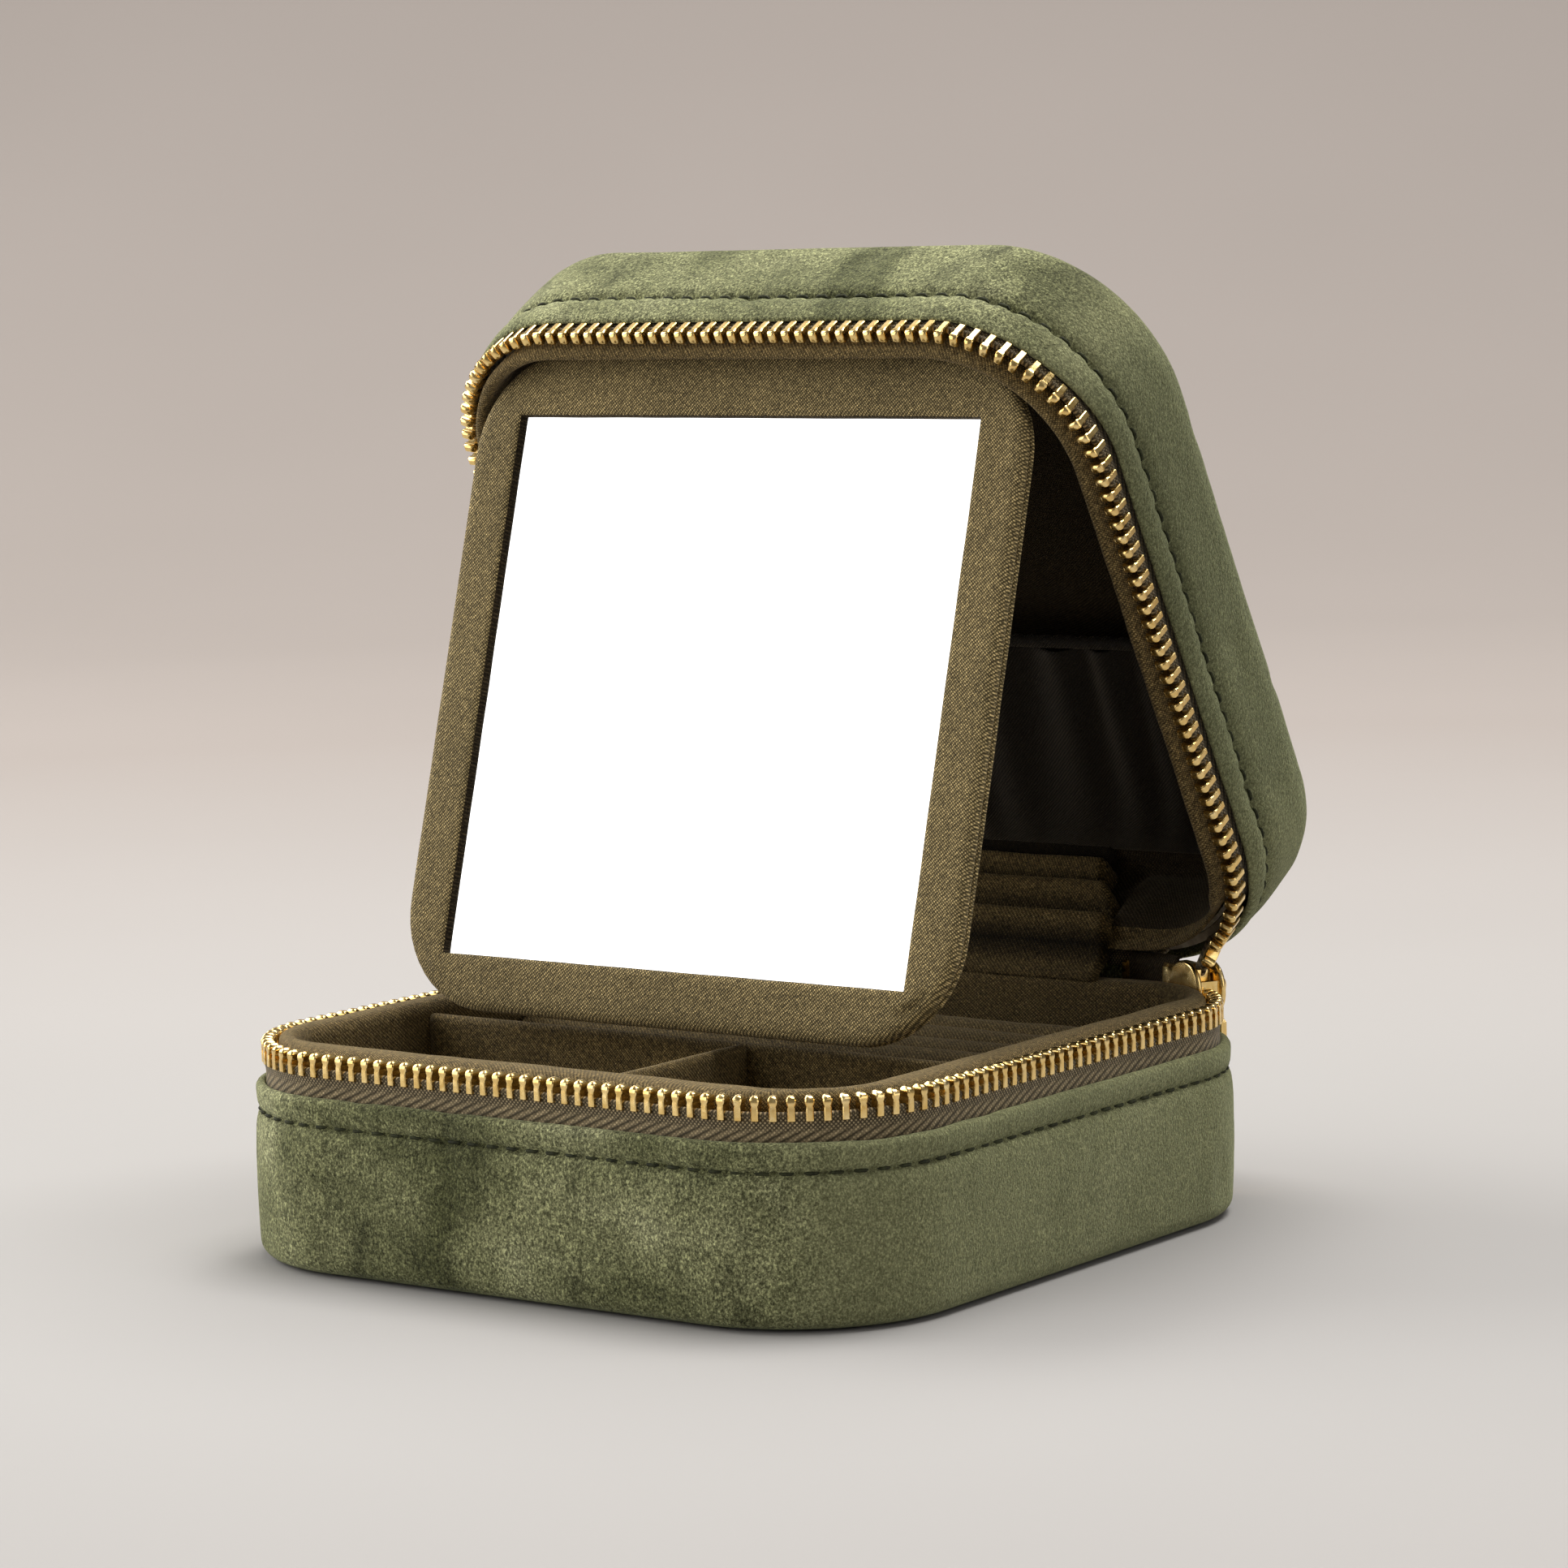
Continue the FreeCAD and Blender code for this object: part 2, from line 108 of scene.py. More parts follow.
# Where the lid and the flap stand
AXIS = Vector((-1, 0, 0))
HINGE = Vector(joint("lid_hinge")["pos_m"]) / MM
LID_OPEN = radians(60.8)
LID = Matrix.Translation(HINGE) @ Matrix.Rotation(LID_OPEN, 4, AXIS) @ Matrix.Translation(-HINGE)
PIVOT = LID.inverted() @ (Vector(joint("mirror_hinge")["pos_m"]) / MM)
FLAP_DROP = radians(-joint("mirror_hinge")["range_deg"][0])
FLAP = LID @ Matrix.Translation(PIVOT) @ Matrix.Rotation(FLAP_DROP, 4, AXIS) @ Matrix.Translation(-PIVOT)
BASE = Matrix()
SPINE_BODIES = ("base", "lid")
LID_CHAIN_DEG = 48.0        # angles on the rear corner arcs, from the side
UPPER_CHAIN_DEG = 81.0
SLIDER_DEG = 62.0


# ---- material tools

def shade(tree, kind, inputs, **settings):
    """Adds a node. An input that is a socket is linked, and any other is set."""
    made = tree.nodes.new(kind)
    for key, value in settings.items():
        setattr(made, key, value)
    for key, value in inputs.items():
        if isinstance(value, bpy.types.NodeSocket):
            tree.links.new(value, made.inputs[key])
        else:
            made.inputs[key].default_value = value
    return made


def shader_input(tree, key):
    return tree.nodes["Principled BSDF"].inputs[key.replace("_", " ")]


def new_material(name, **values):
    """A material with values set on its shader, and its node tree."""
    material = bpy.data.materials.new(name)
    material.use_nodes = True
    for key, value in values.items():
        shader_input(material.node_tree, key).default_value = value
    return material, material.node_tree


def feed(tree, **sockets):
    for key, value in sockets.items():
        tree.links.new(value, shader_input(tree, key))


def ramp(tree, value, *stops):
    made = shade(tree, "ShaderNodeValToRGB", {"Fac": value})
    elements = made.color_ramp.elements
    while len(elements) < len(stops):
        elements.new(0.5)
    for element, (place, colour) in zip(elements, stops):
        element.position = place
        element.color = (*colour, 1)
    return made.outputs["Color"]


def grey_ramp(tree, value, *stops):
    return ramp(tree, value, *((place, (v, v, v)) for place, v in stops))


def mix(tree, factor, a, b, kind="MIX"):
    a, b = ((*v, 1) if isinstance(v, tuple) else v for v in (a, b))
    return shade(tree, "ShaderNodeMix", {0: factor, 6: a, 7: b}, data_type="RGBA", blend_type=kind).outputs[2]


def maths(tree, operation, a, b=0.0):
    return shade(tree, "ShaderNodeMath", {0: a, 1: b}, operation=operation).outputs[0]


def times(tree, a, b):
    return maths(tree, "MULTIPLY", a, b)


def scaled(tree, value, factor, base):
    return shade(tree, "ShaderNodeMath", {0: value, 1: factor, 2: base}, operation="MULTIPLY_ADD").outputs[0]


def object_place(tree):
    return shade(tree, "ShaderNodeTexCoord", {}).outputs["Object"]


def map_range(tree, value, low, high, **settings):
    return shade(tree, "ShaderNodeMapRange", {"Value": value, "From Min": low, "From Max": high}, **settings).outputs[0]


def cloud(tree, scale, detail=3.0, distortion=0.0, rough=0.5, upright=1.0):
    """Noise in the object's own millimetres, scale to the millimetre and upright times that in height."""
    spread = (1000 * scale, 1000 * scale, 1000 * scale * upright)
    placed = shade(tree, "ShaderNodeMapping", {"Vector": object_place(tree), "Scale": spread}).outputs[0]
    return shade(tree, "ShaderNodeTexNoise", {
        "Vector": placed, "Scale": 1.0, "Detail": detail, "Distortion": distortion, "Roughness": rough}).outputs["Fac"]


def bump(tree, height, strength, distance, under=None):
    """Bump of so many millimetres, over the one below it."""
    inputs = {"Height": height, "Strength": strength, "Distance": distance * MM}
    if under is not None:
        inputs["Normal"] = under
    made = shade(tree, "ShaderNodeBump", inputs).outputs[0]
    feed(tree, Normal=made)
    return made


def risen(tree, axis, start, end):
    """0 below start and 1 above end on one axis, in millimetres."""
    across = shade(tree, "ShaderNodeSeparateXYZ", {0: object_place(tree)}).outputs[axis]
    return map_range(tree, across, start * MM, end * MM, interpolation_type="SMOOTHSTEP")


def weave_place(tree):
    """The piece's weave map in millimetres: along the yarn's run, and across it."""
    place = shade(tree, "ShaderNodeUVMap", {}, uv_map="Weave").outputs[0]
    parts = shade(tree, "ShaderNodeSeparateXYZ", {0: place})
    return parts.outputs[0], parts.outputs[1]


def wave(tree, value, pitch):
    """From 0 to 1 and back every pitch millimetres."""
    return scaled(tree, maths(tree, "SINE", times(tree, value, 2 * pi / pitch)), 0.5, 0.5)


# ---- materials

def velvet_material():
    """Crushed sage velvet: pile that lies in light and dark patches, grain, and a soft sheen at grazing angles.
    The pile lies smoother on the right side, and painted shade darkens the lid's right side above 42 mm."""
    material, tree = new_material(
        "sage_velvet", Sheen_Weight=0.42, Sheen_Roughness=0.32, Sheen_Tint=(0.70, 0.76, 0.48, 1),
        Specular_IOR_Level=0.08)
    patches = cloud(tree, 0.040, 2.2, 0.8, 0.5, 1.3)
    marks = cloud(tree, 0.13, 3.0, 1.0, 0.6, 0.55)
    fuzz = cloud(tree, 3.5, 2.0, 0.3, 0.8, 0.8)
    specks = cloud(tree, 1.8, 2.0, 0.6, 0.8, 0.85)
    smooth = risen(tree, 0, 36, 47)
    # Painted shade: a mask of the lid's right side, from 46 mm out and 42 mm up.
    shaded = times(tree, risen(tree, 0, 46, 49), risen(tree, 2, 42, 60))
    pile = ramp(
        tree, patches, (0.32, (0.072, 0.076, 0.033)), (0.44, (0.143, 0.148, 0.071)),
        (0.55, (0.196, 0.201, 0.101)), (0.67, (0.268, 0.272, 0.149)))
    crushed = grey_ramp(tree, marks, (0.28, 0.30), (0.38, 0.80), (0.48, 1.0), (0.70, 1.20))
    grain = grey_ramp(tree, fuzz, (0.32, 0.05), (0.50, 0.86), (0.68, 2.60))
    spots = grey_ramp(tree, specks, (0.32, 0.28), (0.52, 1.0), (0.72, 1.80))
    brushed = mix(tree, 0.85, pile, crushed, "MULTIPLY")
    laid = mix(tree, times(tree, smooth, 0.80), brushed, (0.182, 0.187, 0.096))
    grained = mix(tree, scaled(tree, smooth, -0.35, 0.80), laid, grain, "MULTIPLY")
    napped = mix(tree, scaled(tree, smooth, -0.40, 0.72), grained, spots, "MULTIPLY")
    # The painted shade darkens the masked lid side towards 0.74 of its colour.
    feed(tree, Base_Color=mix(tree, times(tree, shaded, 0.9), napped, (0.74, 0.76, 0.76), "MULTIPLY"),
         Roughness=scaled(tree, patches, 0.14, 0.78))
    bump(tree, fuzz, 0.9, 0.22, bump(tree, specks, 0.55, 0.30))
    return material


def twill_height(tree, pitch):
    """Diagonal yarns crossed by finer ones, both uneven enough not to run in straight lines."""
    u, v = weave_place(tree)
    wobble = times(tree, cloud(tree, 0.9, 3.0, 0.3, 0.7), 0.9 * pitch)
    diagonal = maths(tree, "ADD", maths(tree, "ADD", u, v), wobble)
    crossing = maths(tree, "ADD", maths(tree, "SUBTRACT", u, v), wobble)
    return times(tree, wave(tree, diagonal, pitch), wave(tree, crossing, 0.7 * pitch))


def ribbed_tape_height(tree):
    """Broad diagonal ribs with narrow grooves over most of the tape, all of it in a small crosshatch."""
    u, v = weave_place(tree)
    hatch = times(tree, wave(tree, maths(tree, "ADD", u, v), 0.56), wave(tree, maths(tree, "SUBTRACT", u, v), 0.56))
    broad = maths(tree, "POWER", wave(tree, maths(tree, "ADD", u, times(tree, v, 2.1)), 1.95), 0.7)
    ribs = times(tree, broad, maths(tree, "ADD", times(tree, hatch, 0.8), 0.42))
    far = map_range(tree, v, 1.3, 2.1)
    return shade(tree, "ShaderNodeMix", {0: far, 2: hatch, 3: ribs}, data_type="FLOAT").outputs[0]


def woven_material(name, dark, light, height_of, grain, fuzz, **values):
    """Yarns from height_of, toned by slow patches and by slubs, whose contrast is grain."""
    material, tree = new_material(name, **values)
    woven = height_of(tree)
    tone = grey_ramp(tree, cloud(tree, 0.09, 3.0, 0.6), (0.3, 0.72), (0.7, 1.22))
    slub = cloud(tree, 2.5, 2.0, 0.2, 0.8)
    shaded = mix(tree, 0.5, mix(tree, woven, dark, light), tone, "MULTIPLY")
    slubs = grey_ramp(tree, slub, (0.3, 0.16), (0.5, 0.92), (0.7, 2.30))
    feed(tree, Base_Color=mix(tree, grain, shaded, slubs, "MULTIPLY"), Roughness=scaled(tree, woven, 0.12, 0.74))
    bump(tree, slub, fuzz, 0.12, bump(tree, woven, 0.6, 0.14))
    return material


def twill(name, dark, light, pitch, grain, fuzz, sheen, gloss, nap=0.4, tint=(0.80, 0.68, 0.48, 1)):
    return woven_material(
        name, dark, light, lambda tree: twill_height(tree, pitch), grain, fuzz,
        Sheen_Weight=sheen, Sheen_Roughness=nap, Sheen_Tint=tint, Specular_IOR_Level=gloss)


BROWN = (0.074, 0.052, 0.020), (0.325, 0.235, 0.100)


def fold_material():
    """The brown lining with painted shade deep in its folds and a painted highlight on their ridges, from the
    fold_height attribute.
    """
    material = twill("fold_lining_painted_shade", *BROWN, 0.5, 0.85, 0.9, 0.15, 0.1)
    tree = material.node_tree
    height = shade(tree, "ShaderNodeAttribute", {}, attribute_name="fold_height").outputs["Fac"]
    # Painted shade and highlight: dark where fold_height is low, in the grooves, and lighter than the cloth near the
    # ridges.
    tone = grey_ramp(tree, height, (0.0, 0.10), (0.45, 0.42), (0.9, 1.25))
    cloth = shader_input(tree, "Base_Color").links[0].from_socket
    feed(tree, Base_Color=mix(tree, 1.0, cloth, tone, "MULTIPLY"))
    return material


def gold_material():
    """Light gold plating, with faint handling marks in its gloss."""
    material, tree = new_material("light_gold", Metallic=1.0)
    marks = cloud(tree, 0.55, 4.0, 1.2, 0.6)
    feed(tree, Roughness=grey_ramp(tree, marks, (0.3, 0.15), (0.7, 0.28)), Base_Color=ramp(
        tree, marks, (0.3, (0.76, 0.51, 0.16)), (0.55, (0.88, 0.65, 0.27)), (0.75, (0.97, 0.78, 0.41))))
    bump(tree, marks, 0.08, 0.05)
    return material


def mirror_material():
    """Silvered glass with the faintest haze."""
    material, tree = new_material("silvered_mirror", Metallic=1.0)
    haze = cloud(tree, 0.06, 3.0)
    feed(tree, Base_Color=ramp(tree, haze, (0.3, (0.93, 0.94, 0.95)), (0.7, (0.96, 0.965, 0.97))),
         Roughness=grey_ramp(tree, haze, (0.35, 0.012), (0.75, 0.03)))
    return material


def thread_material():
    material, tree = new_material("green_thread", Specular_IOR_Level=0.15)
    twist = cloud(tree, 2.2, 2.0, 0.5)
    feed(tree, Base_Color=ramp(tree, twist, (0.3, (0.011, 0.012, 0.006)), (0.7, (0.044, 0.049, 0.022))),
         Roughness=grey_ramp(tree, twist, (0.3, 0.6), (0.7, 0.8)))
    bump(tree, twist, 0.6, 0.08)
    return material


def core_material(name, dark, light, scale, depth):
    """Grey board or foam, as it shows at a raw edge."""
    material, tree = new_material(name, Roughness=0.9)
    fibres = cloud(tree, scale, 4.0, 0.4, 0.65, 0.5)
    feed(tree, Base_Color=ramp(tree, fibres, (0.32, dark), (0.68, light)))
    bump(tree, fibres, 0.5, depth)
    return material


VELVET = velvet_material()
TWILL = twill("olive_twill", (0.068, 0.053, 0.022), (0.660, 0.504, 0.236), 0.54, 0.7, 0.6, 0.15, 0.12,
              0.45, (0.80, 0.70, 0.52, 1))
LINING = twill("brown_lining", *BROWN, 0.5, 0.85, 0.9, 0.24, 0.1)
# A darkened copy of the brown lining, as painted shade for the lid's inner faces, the mirror window's lip and the tape
# seen from inside.
PAINTED_SHADE_LINING = twill("painted_shade_lining", (0.020, 0.014, 0.007), (0.085, 0.062, 0.031), 0.6, 0.6, 0.8, 0.20, 0.1)
# Near-black satin, as painted shade for the pocket and its elastic hem deep in the lid.
PAINTED_SHADE_SATIN = twill("pocket_satin_painted_shade", (0.008, 0.006, 0.003), (0.030, 0.022, 0.011), 0.5, 0.3, 0.25, 0.30, 0.4, 0.3)
FOLD_LINING = fold_material()
TAPE = woven_material("ribbed_tape", (0.040, 0.030, 0.014), (0.430, 0.340, 0.195), ribbed_tape_height, 0.35, 0.4,
                      Sheen_Weight=0.12, Specular_IOR_Level=0.2)
GOLD = gold_material()
MIRROR = mirror_material()
THREAD = thread_material()
BOARD = core_material("grey_board", (0.22, 0.19, 0.15), (0.42, 0.38, 0.31), 0.8, 0.06)
FOAM = core_material("cream_foam", (0.48, 0.45, 0.38), (0.74, 0.71, 0.63), 2.4, 0.2)


# ---- mesh tools

class Net:
    """Points, faces and weave coordinates of one piece, in millimetres."""

    def __init__(self):
        self.points, self.faces, self.weave = [], [], []

    def face(self, corners, weave=None):
        self.faces.append(tuple(corners))
        self.weave.extend(weave or [self.points[c][:2] for c in self.faces[-1]])

    def lattice(self, columns, along, round_again=False, tube=False, flip=False):
        """Columns of equally many points, joined into quads. round_again joins the last column to the first,
        and tube the last point of each column to its first. along has one more value if round_again."""
        first, rows = len(self.points), len(columns[0])
        across = [0.0]
        for a, b in zip(columns[0], columns[0][1:] + columns[0][:1]):
            across.append(across[-1] + (Vector(a) - Vector(b)).length)
        for column in columns:
            self.points.extend(column)
        turn = -1 if flip else 1
        for i in range(len(columns) - (0 if round_again else 1)):
            here, there = first + i * rows, first + (i + 1) % len(columns) * rows
            for j in range(rows - (0 if tube else 1)):
                k = (j + 1) % rows
                weave = [(along[m], across[n]) for m, n in ((i, j), (i + 1, j), (i + 1, j + 1), (i, j + 1))]
                self.face((here + j, there + j, there + k, here + k)[::turn], weave[::turn])

    def solid(self, rings):
        """Joins rings of equally many points, and closes both ends."""
        first, size = len(self.points), len(rings[0])
        last = first + (len(rings) - 1) * size
        for ring in rings:
            self.points.extend(ring)
        for here in range(first, last, size):
            for j in range(size):
                k = (j + 1) % size
                self.face((here + j, here + k, here + size + k, here + size + j))
        self.face(first + j for j in reversed(range(size)))
        self.face(last + j for j in range(size))

    def close_ends(self, columns, rows, first=0, flip=False):
        """Flat ends for an open sweep of a closed profile."""
        turn = -1 if flip else 1
        self.face(first + j for j in range(rows)[::turn])
        self.face(first + (columns - 1) * rows + j for j in range(rows)[::-turn])

    def close_middle(self, columns, rows, row, flip=False):
        """Fills the hole inside one row of a sweep that goes all the way round."""
        self.face(i * rows + row for i in range(columns)[::-1 if flip else 1])

    def made(self, name, material, matrix=BASE, sharp_deg=None):
        mesh = bpy.data.meshes.new(name)
        mesh.from_pydata([(matrix @ Vector(p)) * MM for p in self.points], [], self.faces)
        layer = mesh.uv_layers.new(name="Weave")
        for corner, value in zip(layer.data, self.weave):
            corner.uv = value
        mesh.materials.append(material)
        mesh.polygons.foreach_set("use_smooth", [True] * len(mesh.polygons))
        if sharp_deg:
            mesh.set_sharp_from_angle(angle=radians(sharp_deg))
        mesh.update()
        return linked(name, mesh)


def linked(name, data):
    obj = bpy.data.objects.new(name, data)
    bpy.context.scene.collection.objects.link(obj)
    return obj


def attach(piece, body, finish, *nodes):
    """The piece rides a body and replaces nodes; finish is not used."""
    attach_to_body(piece, body)
    if nodes:
        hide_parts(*nodes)
    return piece


def bridge(piece, bodies, start, end, finish, *nodes, **sheet):
    """The piece reaches from one body to another and replaces nodes. start and end, in metres, and sheet are not used.
    """
    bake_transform(piece)
    if nodes:
        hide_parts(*nodes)


def thicken(piece, thickness, offset=0.0):
    modifier = piece.modifiers.new("thickness", "SOLIDIFY")
    modifier.thickness = thickness * MM
    modifier.offset = offset


def second_material(piece, material, strips, chosen):
    """Gives another material to the lengthwise strips that chosen picks out."""
    piece.data.materials.append(material)
    for index, polygon in enumerate(piece.data.polygons):
        if chosen(index % strips):
            polygon.material_index = 1


def spread(start, end, count):
    return [start + (end - start) * i / (count - 1) for i in range(count)]


def turns(sides):
    return [2 * pi * i / sides for i in range(sides)]


def laid_across(count, width, column_of):
    """A net with columns from t = -1 to 1, whose weave is laid out width to each side."""
    places = spread(-1, 1, count)
    net = Net()
    net.lattice([column_of(t) for t in places], [width * t for t in places])
    return net


def lump(point, size, seed):
    """Smooth noise from -1 to 1 with lumps of about that many millimetres."""
    return noise.noise(Vector(point) / size + Vector((seed * 7.3, seed * 3.1, seed * 5.7)))


def swell(obj, height):
    """Moves each point along its normal by height(point in millimetres), in millimetres."""
    moves = [v.normal * height(v.co / MM) * MM for v in obj.data.vertices]
    for vertex, move in zip(obj.data.vertices, moves):
        vertex.co += move
    obj.data.update()


def ease(value, low, high):
    """0 below low, 1 above high, smooth between."""
    t = min(max((value - low) / (high - low), 0), 1)
    return t * t * (3 - 2 * t)


def plan(distance, half=HALF, corner=CORNER):
    """The point and the outward normal's angle at a distance along the case's plan, anticlockwise from
    the middle of the rear."""
    centre = half - corner
    run = 2 * centre + corner * pi / 2
    side, along = divmod(distance + centre, run)
    if along < 2 * centre:
        point, angle = Vector((centre - along, half, 0)), pi / 2
    else:
        angle = pi / 2 + (along - 2 * centre) / corner
        point = Vector((-centre + corner * cos(angle), centre + corner * sin(angle), 0))
    turn = side * pi / 2
    return Matrix.Rotation(turn, 3, "Z") @ point, angle + turn


PLAN_LENGTH = 8 * (HALF - CORNER) + 2 * pi * CORNER
STITCHES = 122
SHELL_STATIONS = 3 * STITCHES


def stations(count, start=0.0, end=PLAN_LENGTH):
    """count stations from start to end; all the way round, the end isn't repeated."""
    whole = end - start >= PLAN_LENGTH - 1e-6
    step = (end - start) / (count if whole else count - 1)
    return [start + i * step for i in range(count)]


def inset_point(distance, inset, z, scale=1.0):
    point, angle = plan(distance)
    out = Vector((cos(angle), sin(angle), 0))
    return ((point.x - out.x * inset) * scale, (point.y - out.y * inset) * scale, z)


def room_point(distance, inset, z, scale=1.0):
    """A point on the outline inside the rim, which has tighter corners than the case, moved in by inset."""
    centre = HALF - CORNER
    side, along = divmod(distance + centre, 2 * centre + CORNER * pi / 2)
    half = HALF - RIM_IN
    straight = 2 * (half - ROOM_CORNER)
    if along < 2 * centre:
        own = along / (2 * centre) * straight
    else:
        own = straight + (along - 2 * centre) * ROOM_CORNER / CORNER
    start = side * (straight + ROOM_CORNER * pi / 2) - straight / 2
    point, angle = plan(start + own, half, ROOM_CORNER)
    return ((point.x - cos(angle) * inset) * scale, (point.y - sin(angle) * inset) * scale, z)


def rim_point(distance, share, z):
    """A point at a share of the way from the chain to the room."""
    point = Vector(inset_point(distance, RIM_EDGE, 0)).lerp(Vector(room_point(distance, 0, 0)), share)
    return (point.x, point.y, z)


def swept(net, places, rows, tube=False, flip=False, point_of=inset_point):
    """Sweeps a profile along the case's plan. A row holds what point_of takes after the distance, such as
    (inset, z) or (inset, z, scale), or is a function of the distance that gives it."""
    whole = abs(places[-1] + places[1] - 2 * places[0] - PLAN_LENGTH) < 1e-6
    columns = [[point_of(s, *(row(s) if callable(row) else row)) for row in rows] for s in places]
    net.lattice(columns, list(places) + ([places[0] + PLAN_LENGTH] if whole else []), whole, tube, flip)
    return len(columns), len(rows)


def rounded_reach(across, half, corner):
    """Half the width of a square with rounded corners, at a distance from its middle line."""
    beyond = abs(across) - (half - corner)
    return half if beyond <= 0 else half - corner + sqrt(max(corner ** 2 - beyond ** 2, 0))


def behind(s, start, end):
    """0 where the plan is in front of start, 1 where it is behind end."""
    return ease(plan(s)[0].y, start, end)


# ---- velvet

def stitch_dip(s, z, level):
    """How far the thread pulls the velvet in, most at the needle holes."""
    phase = (s / PLAN_LENGTH * STITCHES) % 1.0
    hole = max(0.0, 1 - 4.5 * min(phase, 1 - phase))
    pull = 1 + 0.35 * lump((s, level, 0), 5.0, 61)
    near = exp(-((z - level) / 0.45) ** 2)
    wide = exp(-((z - level) / 1.5) ** 2)
    return pull * (near * (0.34 + 0.55 * hole) + wide * (0.26 + 0.14 * hole))


def velvet_wall(levels, stitch_level, low, high):
    """Rows of a wall that bellies out a little between its two ends."""
    rows = []
    for z in levels:
        belly = 0.22 * sin(pi * (z - low) / (high - low))
        rows.append(lambda s, z=z, belly=belly: (stitch_dip(s, z, stitch_level) - belly, z))
    return rows


def arc_rows(radius, level, direction, steps):
    """Rows round the fillet between a flat face at level and the wall, from the flat face."""
    return [(radius * (1 - sin(turn)), level + direction * radius * (1 - cos(turn)))
            for turn in spread(0, pi / 2, steps + 1)]


def crumple(point, seed, strength):
    broad = 0.16 * lump(point, 17.0, seed)
    dents = -0.30 * ease(lump(point, 7.5, seed + 1), 0.32, 0.62)
    fine = 0.045 * lump(point, 2.6, seed + 2)
    return strength * (broad + dents + fine)


def base_velvet():
    bottom = 0.12
    rows = [(6.0, bottom + 0.1, k) for k in (0.06, 0.25, 0.45, 0.65, 0.8, 0.92)]
    rows += [(6.0, bottom + 0.08), (3.6, bottom)] + arc_rows(1.9, bottom, 1, 6)
    levels = [2.9, 4.0, 5.3, 6.6, 8.0, 9.4, 10.8, 12.2, 13.6, 15.0, 16.2, 17.0, 17.6, 18.0, 18.3, 18.5,
              18.7, 19.0, 19.4, 20.0, 20.6, 21.0]
    rows += velvet_wall(levels, BASE_STITCH, rows[-1][1], VELVET_TOP)
    rows += [(0.02, 21.4), (0.22, 21.75), (0.55, 21.95), (0.9, VELVET_TOP), (1.15, 21.85), (1.32, 21.5),
             (1.36, 20.6), (1.36, 19.0)]
    net = Net()
    net.close_middle(*swept(net, stations(SHELL_STATIONS), rows), 0, True)
    piece = net.made("base_velvet", VELVET)
    swell(piece, lambda p: crumple(p, 1, 1.0) * (ease(p.z, 0.5, 4) if p.z < 21 else 0.5))
    attach(piece, "base", "velvet", "base_velvet_shell")


def hem_row(inset, above):
    def row(s):
        shift = REAR_HEM * behind(s, 34, 41) - FRONT_HEM * (1 - behind(s, -46, -30))
        return inset, LID_HEM + above + shift * (1 - above / 3)
    return row


def lid_velvet():
    fillet = 3.4
    rows = [(1.30, 36.5), (1.30, 35.0)]
    rows += [hem_row(inset, above) for inset, above in (
        (1.32, 1.9), (1.30, 0.7), (1.20, 0.25), (1.0, 0.0), (0.76, 0.04), (0.56, 0.26), (0.40, 0.64),
        (0.24, 1.15), (0.13, 1.75), (0.06, 2.3))]
    levels = [34.7, 35.0, 35.3, 35.5, 35.7, 36.0, 36.5, 37.3, 38.4, 39.6, 40.8, 42.0, 43.2, 44.4, 45.3]
    rows += velvet_wall(levels, LID_STITCH, LID_EDGE + 1.6, LID_TOP)
    rows += arc_rows(fillet, LID_TOP, -1, 8)[::-1]
    seam = fillet + 0.75
    rows += [(seam + out, LID_TOP + rise) for out, rise in (
        (-0.35, -0.12), (-0.12, -0.5), (0, -0.62), (0.12, -0.5), (0.4, -0.02), (1.0, 0.26), (2.2, 0.42))]
    rows += [(seam + 2.2, LID_TOP + rise, k) for k, rise in (
        (0.95, 0.50), (0.88, 0.60), (0.78, 0.70), (0.65, 0.80), (0.5, 0.88), (0.34, 0.94), (0.18, 0.97), (0.05, 0.98))]
    net = Net()
    net.close_middle(*swept(net, stations(SHELL_STATIONS), rows), len(rows) - 1)
    piece = net.made("lid_velvet", VELVET, LID)
    back = LID.inverted()
    swell(piece, lambda p: crumple(p, 4, 0.8) * (0.4 + 0.6 * ease((back @ p).z, LID_EDGE, LID_EDGE + 2)))
    attach(piece, "lid", "velvet", "lid_velvet_shell")


def stitching(name, level, body, matrix):
    """A row of separate stitches, each a bowed length of thread between two needle holes."""
    net = Net()
    pitch = PLAN_LENGTH / STITCHES
    sections, sides, radius = 7, 6, 0.22
    for i in range(STITCHES):
        columns = []
        for t in spread(0, 1, sections):
            s = i * pitch + pitch * (0.20 + 0.60 * t)
            lift = sin(pi * t)
            inset = 0.66 - 0.26 * lift ** 0.5
            thick = radius * (0.35 + 0.65 * min(1, 2.2 * lift))
            columns.append([
                inset_point(s, inset - thick * cos(turn), level + thick * sin(turn)) for turn in turns(sides)])
        first = len(net.points)
        net.lattice(columns, [i * pitch + k * 0.4 for k in range(sections)], tube=True)
        net.close_ends(sections, sides, first, True)
    attach(net.made(name, THREAD, matrix), body, "velvet")


# ---- zip

def rear_distance(degrees, mirrored=False):
    """The distance along the plan of an angle on the rear left corner arc, measured from the side."""
    distance = (HALF - CORNER) + CORNER * radians(90 - degrees)
    return PLAN_LENGTH - distance if mirrored else distance


TOOTH_LEVELS = (  # depth below the tip, half width along the chain, half depth through the tape
    (3.05, 0.34, 0.62), (2.92, 0.43, 0.86), (1.50, 0.42, 0.88), (1.22, 0.37, 0.84), (0.98, 0.50, 0.86),
    (0.60, 0.56, 0.88), (0.30, 0.50, 0.74), (0.08, 0.33, 0.50), (0.0, 0.18, 0.28))


